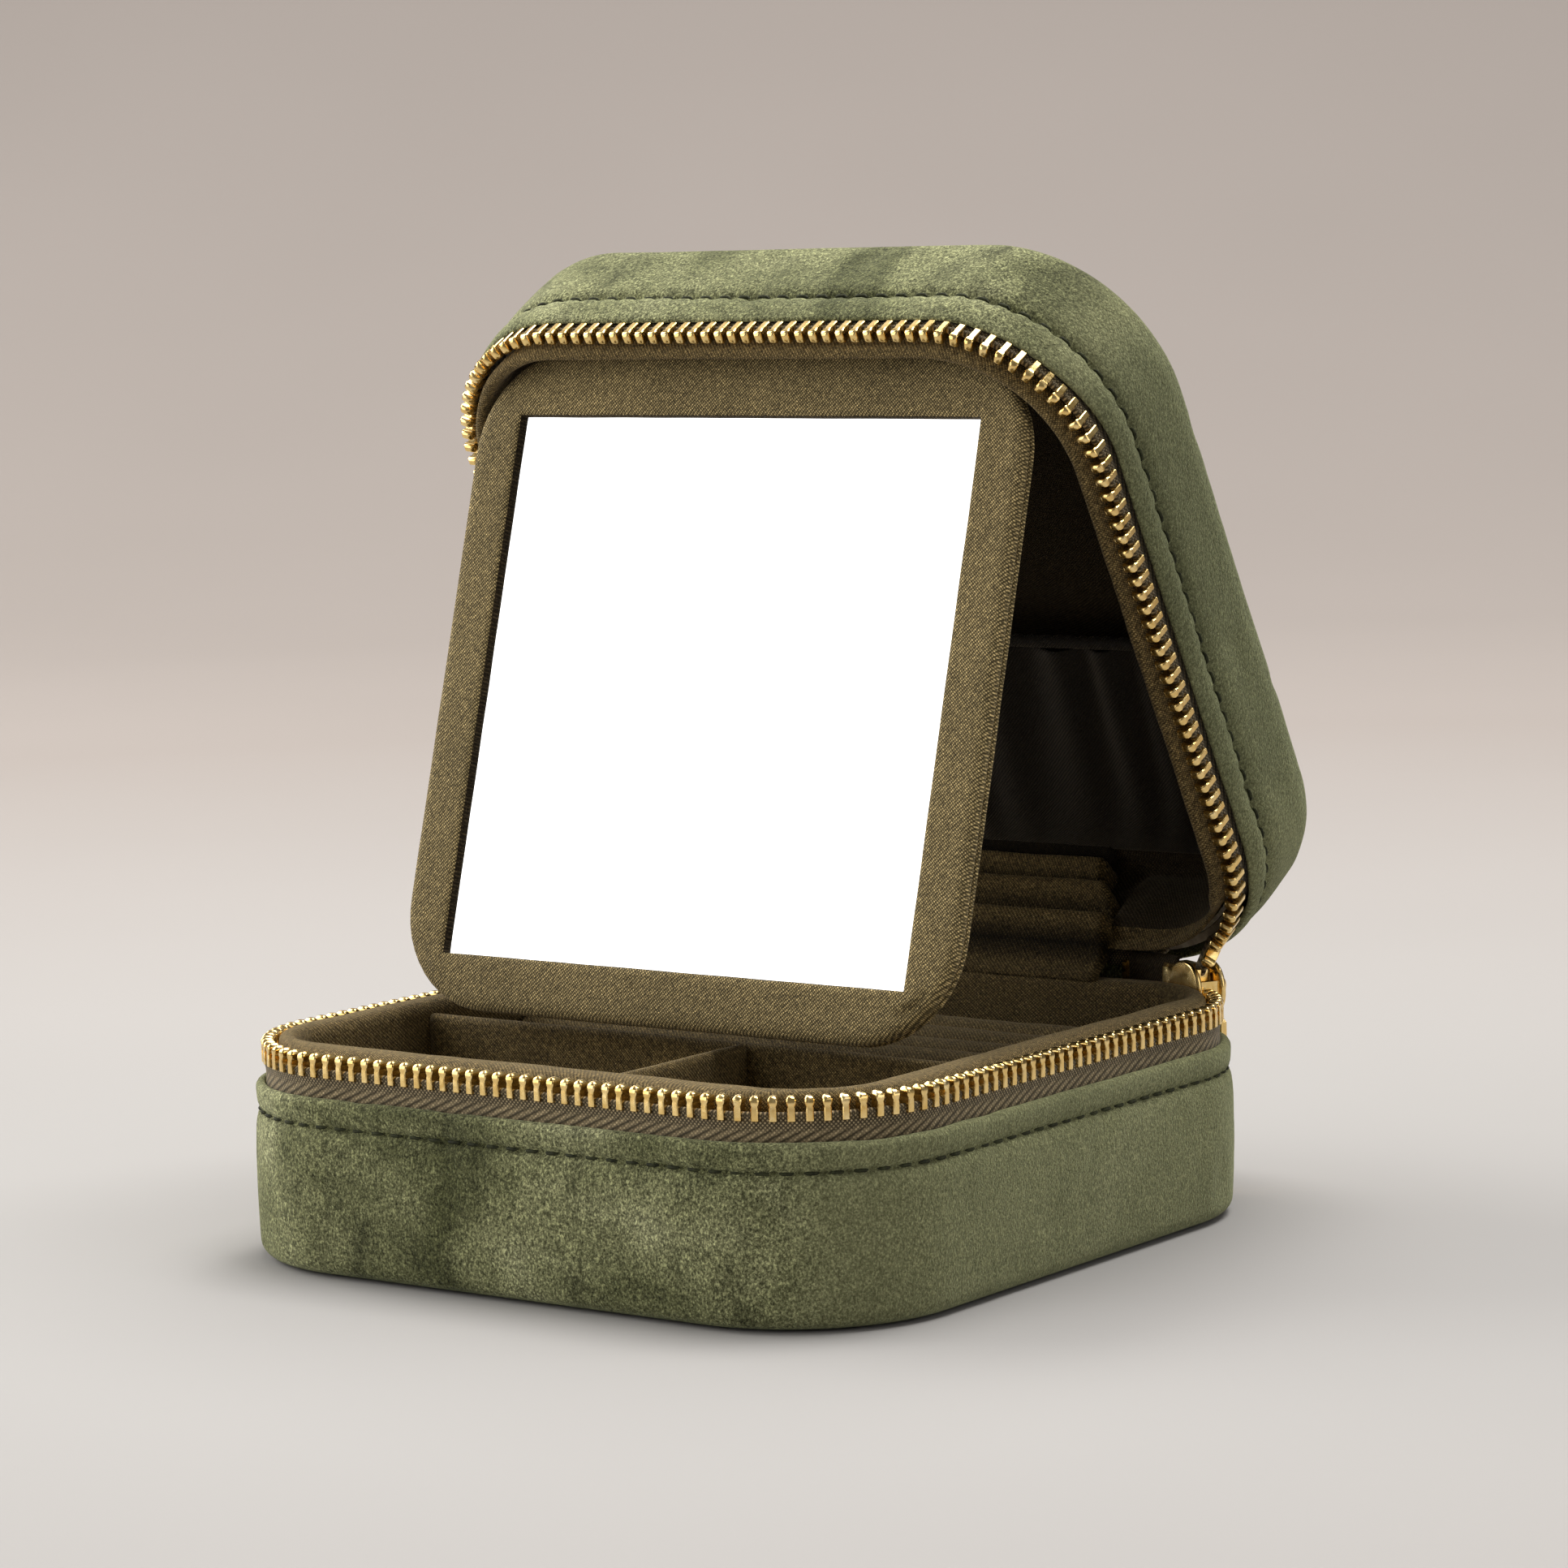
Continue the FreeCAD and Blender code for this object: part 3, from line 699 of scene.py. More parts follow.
def add_tooth(net, place):
    """One tooth, its tip up, placed by a matrix from its own frame (x through the tape, y along the chain)."""
    rings = []
    for depth, b, a in TOOTH_LEVELS:
        c = 0.26 * min(a, b)
        outline = ((a, c - b), (a, b - c), (a - c, b), (c - a, b), (-a, b - c), (-a, c - b), (c - a, -b), (a - c, -b))
        rings.append([place @ Vector((x, y, -depth)) for x, y in outline])
    net.solid(rings)


def tooth_place(distance, tip, up):
    """Where a tooth stands on the plan. up is 1 with its tip up and -1 with its tip down."""
    point, angle = plan(distance)
    out = Vector((cos(angle), sin(angle), 0))
    place = Matrix.Translation(point - out * TOOTH_INSET + Vector((0, 0, tip))) @ Matrix.Rotation(angle, 4, "Z")
    return place if up > 0 else place @ Matrix.Rotation(pi, 4, "X")


def tooth_row(start, end, tip, up, phase=0.5):
    """Places of the teeth between two distances along the plan, evenly spaced along the chain."""
    fine = spread(start, end, 4001)
    points = [Vector(inset_point(s, TOOTH_INSET, 0)) for s in fine]
    lengths = [0.0]
    for a, b in zip(points, points[1:]):
        lengths.append(lengths[-1] + (b - a).length)
    count = round(lengths[-1] / TOOTH_PITCH)
    step = lengths[-1] / count
    places, k = [], 0
    for i in range(count):
        while k < 4000 and lengths[k] < (i + phase) * step:
            k += 1
        places.append(tooth_place(fine[k], tip, up))
    return places


def teeth_piece(name, places, body, *nodes, matrix=BASE):
    net = Net()
    for place in places:
        add_tooth(net, place)
    piece = net.made(name, GOLD, matrix, sharp_deg=38)
    return attach(piece, body, "brass_zip", *nodes) if body else piece


def tape_rows(edge, up, length, sunk):
    """The tape's closed profile. edge is the level of its corded edge in the teeth; up is 1 if that edge is on top.
    sunk is how far the tape leans in where it goes under the velvet."""
    outline = [(2.15, length), (1.60, length), (1.48, length - 1.6), (1.36, length - 3.4), (1.30, 3.4), (1.36, 2.2),
               (1.30, 1.5), (1.18, 1.05), (1.20, 0.75), (1.36, 0.6), (1.34, 0.35), (1.22, 0.1), (1.36, -0.2),
               (1.70, -0.35), (2.04, -0.2), (2.16, 0.2), (2.05, 1.0), (2.1, 3.0)]
    if length < 3.4:
        outline = [(2.15, length), (1.50, length)] + outline[7:-1]
    rows = [(inset + sunk * ease(below, 0.0, 3.0), edge - up * below) for inset, below in outline]
    return rows[::-1] if up > 0 else rows


def tape_piece(name, edge, up, length, spans, body, node, matrix=BASE, sunk=0.0):
    net = Net()
    for start, end in spans:
        first = len(net.points)
        count = max(8, int((end - start) / 1.3))
        columns, sides = swept(net, stations(count, start, end), tape_rows(edge, up, length, sunk), tube=True)
        net.close_ends(columns, sides, first)
    corners = [c for face in net.faces for c in face]
    net.weave = [(u, abs(edge - net.points[c][2])) for (u, v), c in zip(net.weave, corners)]
    attach(net.made(name, TAPE, matrix), body, "zip_tape", node)


def zip_chains():
    end = PLAN_LENGTH
    base_span = (CHAIN_END, end - CHAIN_END)
    lid_start, upper_start = rear_distance(LID_CHAIN_DEG), rear_distance(UPPER_CHAIN_DEG)
    lid_span = (lid_start, end - lid_start)
    spans = [(CHAIN_END, upper_start), (end - upper_start, end - CHAIN_END)]
    tape_piece("base_zip_tape_cloth", CLOSING - 2.3, 1, 7.0, [base_span], "base", "base_zip_tape")
    teeth_piece("base_zip_chain", tooth_row(*base_span, CLOSING, 1), "base", "base_zip_teeth")
    tape_piece("lid_zip_tape_cloth", CLOSING + 2.3, -1, 7.6, [lid_span], "lid", "lid_zip_tape", LID, 0.7)
    teeth_piece("lid_zip_chain", tooth_row(*lid_span, CLOSING, -1), "lid", "lid_zip_teeth", matrix=LID)
    tape_piece("rear_upper_tape_cloth", CLOSING + 1.6, -1, 1.8, spans, "base", "rear_upper_tape")
    meshed = [place for span in spans for place in tooth_row(*span, UPPER_TIP, -1, 0.95)]
    teeth_piece("rear_upper_chain", meshed, "base", "rear_upper_teeth")


# ---- base inside

def lining_piece(net, name, body, node, lumps, seed, matrix=BASE, material=LINING):
    piece = net.made(name, material, matrix)
    swell(piece, lambda p: lumps * lump(p, 9.0, seed) + 0.35 * lumps * lump(p, 3.0, seed + 9))
    attach(piece, body, "lining", node)
    return piece


def base_rim():
    """The padded rim and the wall below it. A row is (share of the way from the chain to the room, z)."""
    rows = [(0, 20.5)] + [(share, RIM_TOP + rise) for share, rise in (
        (0, -2.4), (0.01, -1.4), (0.05, -0.75), (0.13, -0.35), (0.25, -0.12), (0.42, 0), (0.62, 0.02), (0.78, -0.1),
        (0.89, -0.4), (0.97, -0.95), (1.0, -1.7))] + [(1.0, z) for z in (23.6, 20.0, 15.0, 10.0, 6.0, 3.2)]
    net = Net()
    swept(net, stations(240), rows, point_of=rim_point)
    lining_piece(net, "base_rim_lining", "base", "base_lining_wall", 0.13, 11)


def floor_pad():
    rows = [(0.1, 3.1), (0.12, 4.2), (0.4, 4.75), (1.2, FLOOR_TOP)]
    rows += [(1.2, FLOOR_TOP + 0.05, k) for k in (0.9, 0.75, 0.6, 0.45, 0.3, 0.15, 0.04)]
    net = Net()
    net.close_middle(*swept(net, stations(160), rows, point_of=room_point), len(rows) - 1)
    lining_piece(net, "floor_pad_cloth", "base", "base_floor_pad", 0.08, 14)


def divider(node, axis):
    """A fabric-covered board along x (0) or y (1), its top edge rounded by the fold of the cloth."""
    low, high = node_box(node)
    other = 1 - axis
    middle, half, top = (low[other] + high[other]) / 2, (high[other] - low[other]) / 2 + 0.12, high.z
    profile = [(half, 4.4), (half, 12.0), (half, 19.0), (half * 1.02, 24.2), (half * 1.08, top - 0.9),
               (half * 0.86, top - 0.3), (half * 0.42, top - 0.04), (0, top)]
    profile += [(-a, z) for a, z in profile[-2::-1]]
    places = spread(low[axis], high[axis], 48)
    net = Net()
    net.lattice([[(middle + a, s, z) if axis else (s, middle - a, z) for a, z in profile] for s in places], places)
    net.close_ends(len(places), len(profile))
    lining_piece(net, node + "_cloth", "base", node, 0.07, 17)


def ring_roll(index):
    """A foam roll in cloth, nipped where it meets its neighbours."""
    node = "ring_roll_%d" % index
    low, high = node_box(node)
    middle, half = (low.y + high.y) / 2, (high.y - low.y) / 2 + 0.04
    foot = [(half * 0.99, 5.2), (half * 0.97, 12.0), (half * 0.98, 17.0)]
    arch = [(half * cos(turn), ROLL_TOP - half + half * sin(turn) ** 0.92) for turn in spread(0, pi, 15)]
    profile = foot + arch + [(-a, z) for a, z in foot[::-1]]

    def column(t):
        tuck = 0.35 * ease(abs(t), 0.965, 1.0)
        return [(t * rounded_reach(middle - a, HALF - RIM_IN - 0.15, ROOM_CORNER), middle - a * (1 - 0.12 * tuck),
                 z - tuck * 1.6 * ease(z, 15, ROLL_TOP)) for a, z in profile]

    net = laid_across(90, 40, column)
    net.close_ends(90, len(profile))
    lining_piece(net, "ring_roll_cloth_%d" % index, "base", node, 0.16, 20 + index)


# ---- lid inside

def ring_lip(inset, front, rear, rear_inset):
    def row(s):
        share = behind(s, 36, 42)
        return inset + (rear_inset - inset) * share, front + (rear - front) * share
    return row


def ring_face(more, z, share=1.0):
    """The ring's inner face, padded beside the folds of the spine's lining."""
    def row(s):
        away = min(s, PLAN_LENGTH - s)
        return LID_RING_IN + more + share * 2.0 * ease(away, 22.6, 24.6) * (1 - ease(away, 27, 44)), z
    return row


def lid_ring():
    rows = [(LID_RING_IN + 2.2, CEILING), (LID_RING_IN + 0.9, 44.7)]
    rows += [ring_face(*row) for row in (
        (0.3, 43.8, 0.3), (0.2, 42.6, 0.6), (0.1, 40.4, 0.9), (0.05, 37.0), (0, 33.6, 0.9), (0, 32.2, 0.6))]
    rows += [ring_lip(*row) for row in (
        (LID_RING_IN, 29.2, 31.2, LID_RING_IN), (4.8, 28.0, 30.2, 4.85), (4.5, 27.4, 29.7, 4.65),
        (4.0, 27.2, 29.5, 4.4), (3.5, 27.5, 29.8, 4.15), (3.2, 28.2, 30.5, 4.05), (3.15, 29.5, 31.6, 4.05),
        (3.3, 36.0, 36.0, 4.1))]
    net = Net()
    swept(net, stations(420), rows, flip=True)
    # Painted shade: the ring's inner faces take the darkened copy of the lining, and the lip below them keeps the plain
    # brown lining.
    piece = lining_piece(net, "lid_side_lining", "lid", "lid_lining_ring", 0.12, 31, LID, PAINTED_SHADE_LINING)
    second_material(piece, LINING, len(rows) - 1, lambda strip: strip > 6)


def lid_ceiling():
    start = LID_RING_IN + 1.9
    rows = [(start + 1.0, CEILING - 0.02, k) for k in (0.05, 0.18, 0.34, 0.5, 0.66, 0.8, 0.92, 1.0)]
    rows.append((start, CEILING + 0.12))
    net = Net()
    net.close_middle(*swept(net, stations(160), rows), 0, True)
    # Painted shade: the ceiling takes the darkened copy of the lining.
    lining_piece(net, "lid_ceiling_cloth", "lid", "lid_ceiling_lining", 0.22, 33, LID, PAINTED_SHADE_LINING)


def pocket_reach(y):
    return rounded_reach(y, HALF - LID_RING_IN - 0.4, CORNER - LID_RING_IN)


def pocket_sheet():
    """The gathered pocket: a sheet sewn down on three sides, with its cloth grown so that it buckles into folds."""
    wide, tall = 96, 44

    def column(t):
        points = []
        for u in spread(0, 1, tall):
            y = POCKET_MOUTH + (POCKET_END - POCKET_MOUTH) * u
            edge = 1 - abs(t) ** 8
            drop = (POCKET_DEEP + (POCKET_SHALLOW - POCKET_DEEP) * u) * edge * (1 - u ** 10) + 0.15
            gather = 0.75 * sin(t * 34 + 5.0 * u + 1.2 * sin(t * 9)) * (1 - u) ** 0.6 * edge
            points.append((t * pocket_reach(y), y, CEILING - drop + gather))
        return points

    # Painted shade: the pocket takes the near-black satin.
    piece = laid_across(wide, 45, column).made("lid_pocket_cloth", PAINTED_SHADE_SATIN)
    gather_cloth(piece, wide, tall)
    return piece


CLOTH = {
    "quality": 6, "mass": 0.15, "tension_stiffness": 12, "compression_stiffness": 12, "shear_stiffness": 4,
    "bending_stiffness": 0.12, "air_damping": 3.0, "vertex_group_mass": "sewn", "shrink_min": 0.0,
    "shrink_max": -0.55, "vertex_group_shrink": "grown"}


def gather_cloth(piece, wide, tall):
    """Cloth simulation at 20 times size: the sheet's own length grows against its sewn edges."""
    enlarge, last_frame = 20.0, 30
    for vertex in piece.data.vertices:
        vertex.co *= enlarge
    start = [v.co.copy() for v in piece.data.vertices]
    sewn = piece.vertex_groups.new(name="sewn")
    grown = piece.vertex_groups.new(name="grown")
    for i in range(wide):
        for j in range(tall):
            index = i * tall + j
            if i in (0, wide - 1) or j in (0, tall - 1):
                sewn.add([index], 1.0, "REPLACE")
            grown.add([index], 1 - 0.65 * j / (tall - 1), "REPLACE")
    modifier = piece.modifiers.new("cloth", "CLOTH")
    for key, value in CLOTH.items():
        setattr(modifier.settings, key, value)
    modifier.settings.effector_weights.gravity = 0.0
    modifier.collision_settings.use_self_collision = False
    scene = bpy.context.scene
    for timed in (scene, modifier.point_cache):
        timed.frame_start, timed.frame_end = 1, last_frame
    for number in range(1, last_frame + 1):
        scene.frame_set(number)
    settled = piece.evaluated_get(bpy.context.evaluated_depsgraph_get())
    ends = [v.co.copy() for v in settled.to_mesh().vertices]
    settled.to_mesh_clear()
    piece.modifiers.remove(modifier)
    cap = 3.2 * MM * enlarge
    for vertex, a, b in zip(piece.data.vertices, start, ends):
        move = b - a
        if move.length > cap:
            move *= cap / move.length
        vertex.co = (a + move) / enlarge
    scene.frame_set(1)


def lid_pocket():
    """The pocket in its place, gathered more towards the mouth."""
    piece = pocket_sheet()
    for vertex in piece.data.vertices:
        vertex.co.z = min(vertex.co.z, (CEILING - 0.05) * MM)
    piece.data.transform(Matrix.Scale(MM, 4) @ LID @ Matrix.Scale(1 / MM, 4))
    thicken(piece, 0.35)
    smooth = piece.modifiers.new("smooth", "SUBSURF")
    smooth.levels = smooth.render_levels = 1
    attach(piece, "lid", "lining", "lid_pocket")


def pocket_elastic():
    """The elastic hem of the pocket: a narrow ruffled band."""
    section = [(0.9, 0.1), (0.55, 0.62), (-0.55, 0.62), (-1.0, 0.1), (-0.55, -0.5), (0.55, -0.5)]
    columns = []
    for i, t in enumerate(spread(-1, 1, 300)):
        x = t * (pocket_reach(POCKET_MOUTH) - 0.3)
        ruffle = 0.28 * sin(i * 0.95 + 0.8 * sin(i * 0.13))
        z = CEILING - 0.6 - (POCKET_DEEP - 0.6) * ease(1 - abs(t), 0.0, 0.08)
        columns.append([
            (x, POCKET_MOUTH - 0.9 + a * (1 + 0.25 * ruffle), z + b * (1 + 0.5 * ruffle) + 0.35 * ruffle)
            for a, b in section])
    net = Net()
    net.lattice(columns, [0.3 * i for i in range(len(columns))], tube=True)
    net.close_ends(len(columns), len(section))
    # Painted shade: the elastic hem takes the near-black satin.
    attach(net.made("pocket_elastic_hem", PAINTED_SHADE_SATIN, LID), "lid", "lining", "lid_pocket_elastic")


# ---- mirror flap

def flap_outline(count_side):
    """Columns round the flap: outer point, outward normal and the matching point on the window, clockwise
    as seen from the mirror side."""
    outer_middle, window_middle = (FLAP_TOP + FLAP_FOOT) / 2, (WINDOW_TOP + WINDOW_FOOT) / 2
    outer_size = FLAP_HALF, (FLAP_FOOT - FLAP_TOP) / 2
    window_size = WINDOW_HALF, (WINDOW_FOOT - WINDOW_TOP) / 2
    columns = []
    for side in range(4):
        order = 1 if side % 2 == 0 else -1
        (half_along, half_out), (win_along, win_out) = outer_size[::order], window_size[::order]
        straight = half_along - FLAP_CORNER
        turn = Matrix.Rotation(-side * pi / 2, 3, "Z")
        for i in range(count_side):
            t = -1 + 2 * i / count_side
            run = t * (straight + FLAP_CORNER * pi / 4)
            run_out, out, tilt = run, half_out, 0.0
            if abs(run) > straight:
                tilt = copysign((abs(run) - straight) / FLAP_CORNER, run)
                run_out = copysign(straight, run) + FLAP_CORNER * sin(tilt)
                out = half_out - FLAP_CORNER * (1 - cos(tilt))
            columns.append((
                turn @ Vector((run_out, out, 0)) + Vector((0, outer_middle, 0)),
                turn @ Vector((sin(tilt), cos(tilt), 0)),
                turn @ Vector((t * win_along, win_out, 0)) + Vector((0, window_middle, 0))))
    return columns


def flap_piece(name, window, edge, nodes, size, seed, capped=False):
    """Cloth round the flap. Rows of window are (share of the way out, z), and of edge (inset, z, scale)."""
    centre = Vector((0, (FLAP_TOP + FLAP_FOOT) / 2, 0))
    columns = []
    for outer, normal, inner in flap_outline(44):
        column = [(*inner.lerp(outer, share)[:2], z) for share, z in window]
        for inset, z, *scale in edge:
            point = outer - normal * inset
            if scale:
                point = centre + (point - centre) * scale[0]
            column.append((*point[:2], z))
        columns.append(column)
    net = Net()
    net.lattice(columns, list(range(len(columns) + 1)), round_again=True)
    net.weave = [net.points[c][:2] for f in net.faces for c in f]
    if capped:
        net.close_middle(len(columns), len(columns[0]), len(columns[0]) - 1)
    piece = net.made(name, TWILL, FLAP)
    if window:
        # Painted shadow: the two strips of the window's lip round the mirror take the darkened lining.
        second_material(piece, PAINTED_SHADE_LINING, len(columns[0]) - 1, lambda strip: strip < 2)
    swell(piece, lambda p: 0.01 * (size - 2) * lump(p, size, seed))
    attach(piece, "mirror_flap", "lining", *nodes)


def mirror_flap():
    front, rear = 30.6, 33.8
    window = [(0.0, GLASS_LEVEL + 0.1), (0.0, 31.2), (0.012, 30.86), (0.05, 30.68), (0.14, front),
              (0.35, front - 0.02), (0.6, front - 0.02)]
    edge = [(1.9, front), (1.1, front + 0.04), (0.5, front + 0.22), (0.12, front + 0.62), (0.0, front + 1.1),
            (0.0, SEAM_LEVEL - 0.50), (0.14, SEAM_LEVEL - 0.24), (0.50, SEAM_LEVEL - 0.14), (1.1, SEAM_LEVEL)]
    flap_piece("flap_front_cloth", window, edge, ["mirror_front_cover"], 7.0, 41)
    edge = [(1.1, SEAM_LEVEL), (0.50, SEAM_LEVEL + 0.08), (0.14, SEAM_LEVEL + 0.18), (0.0, SEAM_LEVEL + 0.38),
            (0.02, SEAM_LEVEL + 0.65), (0.25, rear - 0.3), (0.7, rear - 0.06), (1.5, rear)]
    edge += [(1.5, rear + 0.03, k) for k in (0.95, 0.85, 0.7, 0.5, 0.3, 0.1)]
    flap_piece("flap_back_cloth", [], edge, ["mirror_back_cover", "mirror_core_board"], 8.0, 43, True)


def flap_hinge_cloth():
    """The cloth that carries the flap, sewn to the lid's side lining and to the flap's back."""
    half = node_box("mirror_hinge_strip")[1].x + 7.0
    wall = -(HALF - LID_RING_IN) + 0.12
    rows = [(LID, wall + y, z) for y, z in ((0, 37.0), (0.05, 34.6), (0.15, 33.6), (0.55, 33.2))]
    rows += [(FLAP, FLAP_TOP + y, z) for y, z in ((0.4, 33.9), (1.2, 34.15), (2.6, 34.1), (5.0, 33.95))]
    net = laid_across(60, half, lambda t: [matrix @ Vector((half * t, y, z)) for matrix, y, z in rows])
    piece = net.made("flap_hinge_cloth", LINING)
    thicken(piece, 0.4)
    start = LID @ Vector((0, wall, 34.0))
    end = FLAP @ Vector((0, FLAP_TOP + 1.5, 34.0))
    bridge(piece, ("lid", "mirror_flap"), tuple(start * MM), tuple(end * MM), "lining", "mirror_hinge_strip",
           flat=(0.070, 0.011), held="hung", rests_on=["lid_side_lining", "flap_back_cloth"])


# ---- spine

def spine_cover():
    rows = [(BASE, 49.2, 19.4), (BASE, 49.95, 19.6), (BASE, 50.25, 20.4), (BASE, 50.35, 21.6), (BASE, 50.6, 22.9),
            (BASE, 51.15, 24.2), (BASE, 51.75, 25.5), (BASE, 52.15, 26.8), (BASE, 52.2, 27.9),
            (LID, 50.75, 33.6), (LID, 50.45, 34.5), (LID, 50.3, 35.2), (LID, 49.95, 35.7), (LID, 49.3, 35.8)]
    half = SPINE_HALF + 1.8
    net = laid_across(70, half, lambda t: [matrix @ Vector((t * half, y, z)) for matrix, y, z in rows])
    piece = net.made("spine_velvet", VELVET)
    swell(piece, lambda p: 0.22 * lump(p, 8.0, 52))
    thicken(piece, 0.7, -1.0)
    bridge(piece, SPINE_BODIES, (0, 0.0506, 0.0225), (0, 0.0522, 0.0295), "velvet", "spine_cover",
           flat=(0.0536, 0.016), held="hung", rests_on=["base_velvet", "lid_velvet"])


def spine_lining():
    """The lining that runs from the base rim up the inside of the lid's rear wall, in three soft folds. A row is
    (matrix, y, z, how far the fold stands out, share of the fold's full height)."""
    wall = HALF - LID_RING_IN - 0.55
    steps, folds, first_deep, deep = 60, 3, 1.85, 3.3
    rows = [(BASE, 42.6, 27.3, 0, 0.7), (BASE, 43.2, 28.2, 0, 0.7), (BASE, 44.2, 28.8, 0, 0.7)]
    for t in spread(0, 1, steps + 1):
        z = 29.3 + (CEILING - 1.0 - 29.3) * t
        fold = abs(sin(pi * folds * t))
        height = (first_deep if t < 1 / folds else deep) * fold
        z += 0.8 * fold ** 2
        full = first_deep if height <= first_deep and z < 35 else deep
        rows.append((LID, wall + 0.3 * (1 - fold), z, height, height / full))
    rows += [(LID, wall - 1.7, CEILING - 0.5, 0, 0), (LID, wall - 4.1, CEILING - 0.35, 0, 0)]

    def column(t):
        tucked = ease(abs(t), 0.985, 1.0)
        full = 1 - ease(abs(t), 0.94, 1.0)
        slack = 1 + 0.10 * lump((t * 30, 0, 0), 14.0, 54)
        points = []
        for row, (matrix, y, z, rise, share) in enumerate(rows):
            up = row / (len(rows) - 1)
            half = SPINE_HALF - 0.2 - 1.2 * up - 4.6 * ease(up, 0.35, 0.72)
            sunk = (1.6 if matrix is LID else 0.6) * tucked
            points.append(matrix @ Vector((t * half, y - rise * slack * full + sunk, z)))
        return points

    piece = laid_across(90, 22, column).made("spine_lining_cloth", FOLD_LINING)
    # fold_height, each row's share of its fold's height, sets the painted shade and highlight of the fold lining.
    height = piece.data.attributes.new("fold_height", "FLOAT", "POINT")
    for index, value in enumerate(height.data):
        value.value = rows[index % len(rows)][4]
    swell(piece, lambda p: 0.08 * lump(p, 6.0, 54))
    thicken(piece, 0.45)
    bridge(piece, SPINE_BODIES, (0, 0.0445, 0.0286), (0, 0.0478, 0.0330), "lining", "spine_lining",
           flat=(0.046, 0.034), held="folded", rests_on=["lid_side_lining", "base_rim_lining"])


# ---- slider and pull

def slider_matrix():
    turn = radians(SLIDER_DEG)
    return Matrix.Translation((HALF - CORNER, HALF - CORNER, CLOSING)) @ Matrix.Rotation(turn, 4, "Z")


def add_slab(net, outline, x0, x1, bevel):
    """A plate with rounded edges: an outline of (y, z) points pushed along x and shrunk at both faces."""
    middle = Vector((sum(p[0] for p in outline) / len(outline), sum(p[1] for p in outline) / len(outline)))
    rings = []
    for x, share in ((x0, 1.0), (x0 + 0.3 * bevel, 0.3), (x0 + bevel, 0.0), (x1 - bevel, 0.0),
                     (x1 - 0.3 * bevel, 0.3), (x1, 1.0)):
        shrunk = [Vector(p) - (Vector(p) - middle).normalized() * bevel * share for p in outline]
        rings.append([(x, *point) for point in shrunk])
    net.solid(rings)


def plate_outline():
    """Round at the open end (low y), drawn in to a narrower square end."""
    lower = [(0.2, -3.2), (1.4, -2.75), (2.4, -2.3), (3.4, -2.2), (4.35, -2.2), (4.6, -1.95)]
    end = [(-1.2 + 3.43 * cos(turn), 3.35 * sin(turn)) for turn in spread(pi / 2, 1.5 * pi, 40)]
    return end + lower + [(y, -z) for y, z in lower[::-1]]


def add_bar(net, centres, sides, long, short, up, close):
    """A bar of oval section through the centres, long in the direction up and short across it."""
    columns = []
    count = len(centres)
    for i, centre in enumerate(centres):
        ahead = centres[(i + 1) % count] if close or i < count - 1 else centre
        before = centres[i - 1] if close or i > 0 else centre
        side = (ahead - before).normalized().cross(up).normalized()
        columns.append([centre + up * long * sin(turn) + side * short * cos(turn) for turn in turns(sides)])
    first = len(net.points)
    net.lattice(columns, [0.5 * i for i in range(count + 1)], round_again=close, tube=True)
    if not close:
        net.close_ends(count, sides, first, True)


def zip_slider():
    net = Net()
    add_slab(net, plate_outline(), 20.8, PLATE_FACE, 0.28)
    add_slab(net, plate_outline(), 17.3, 18.05, 0.28)
    add_slab(net, [(-4.1, -0.9), (-2.4, -0.6), (-2.4, 0.6), (-4.1, 0.9)], 17.9, 20.9, 0.1)
    for side in (-1, 1):
        flange = [(1.0, side * 2.1), (4.5, side * 2.1), (4.5, side * 2.55), (1.0, side * 2.55)]
        add_slab(net, flange[::side], 17.6, 21.2, 0.1)
    reach = BAIL_OUT - PLATE_FACE + 0.45
    bail = [Vector((PLATE_FACE - 0.35 + reach * sin(turn) ** 0.75, -3.15 * cos(turn), 0))
            for turn in spread(0, pi, 29)]
    add_bar(net, bail, 12, 0.85, 0.36, Vector((0, 0, 1)), False)
    piece = net.made("zip_slider_body", GOLD, slider_matrix(), sharp_deg=50)
    attach(piece, "zip_slider", "brass_zip", "zip_slider")


def zip_pull():
    """A flat bar with a shouldered neck and a long eye that hangs on the slider's bail."""
    net = Net()
    half_eye, low, half, wide = 1.3, -26.0, 0.5, 1.65
    eye = [Vector((BAIL_OUT + 0.92 * sin(turn), 0, -half_eye + (half_eye + 0.90) * cos(turn))) for turn in turns(36)]
    add_bar(net, eye, 10, 0.62, 0.28, Vector((0, 1, 0)), True)
    left = [(-0.85, -3.3), (-0.95, -4.6), (-wide, -5.0), (-wide, low + 0.5), (-1.3, low + 0.1), (-0.7, low)]
    outline = left + [(-y, z) for y, z in left[::-1]]
    net.solid([
        [(BAIL_OUT + x, y * (1 - share / wide), z + (share if z < -20 else -share)) for y, z in outline]
        for x, share in ((-half, 0.14), (-half + 0.12, 0.0), (half - 0.12, 0.0), (half, 0.14))])
    piece = net.made("zip_pull_bar", GOLD, slider_matrix(), sharp_deg=35)
    attach(piece, "zip_pull", "brass_zip", "zip_pull")


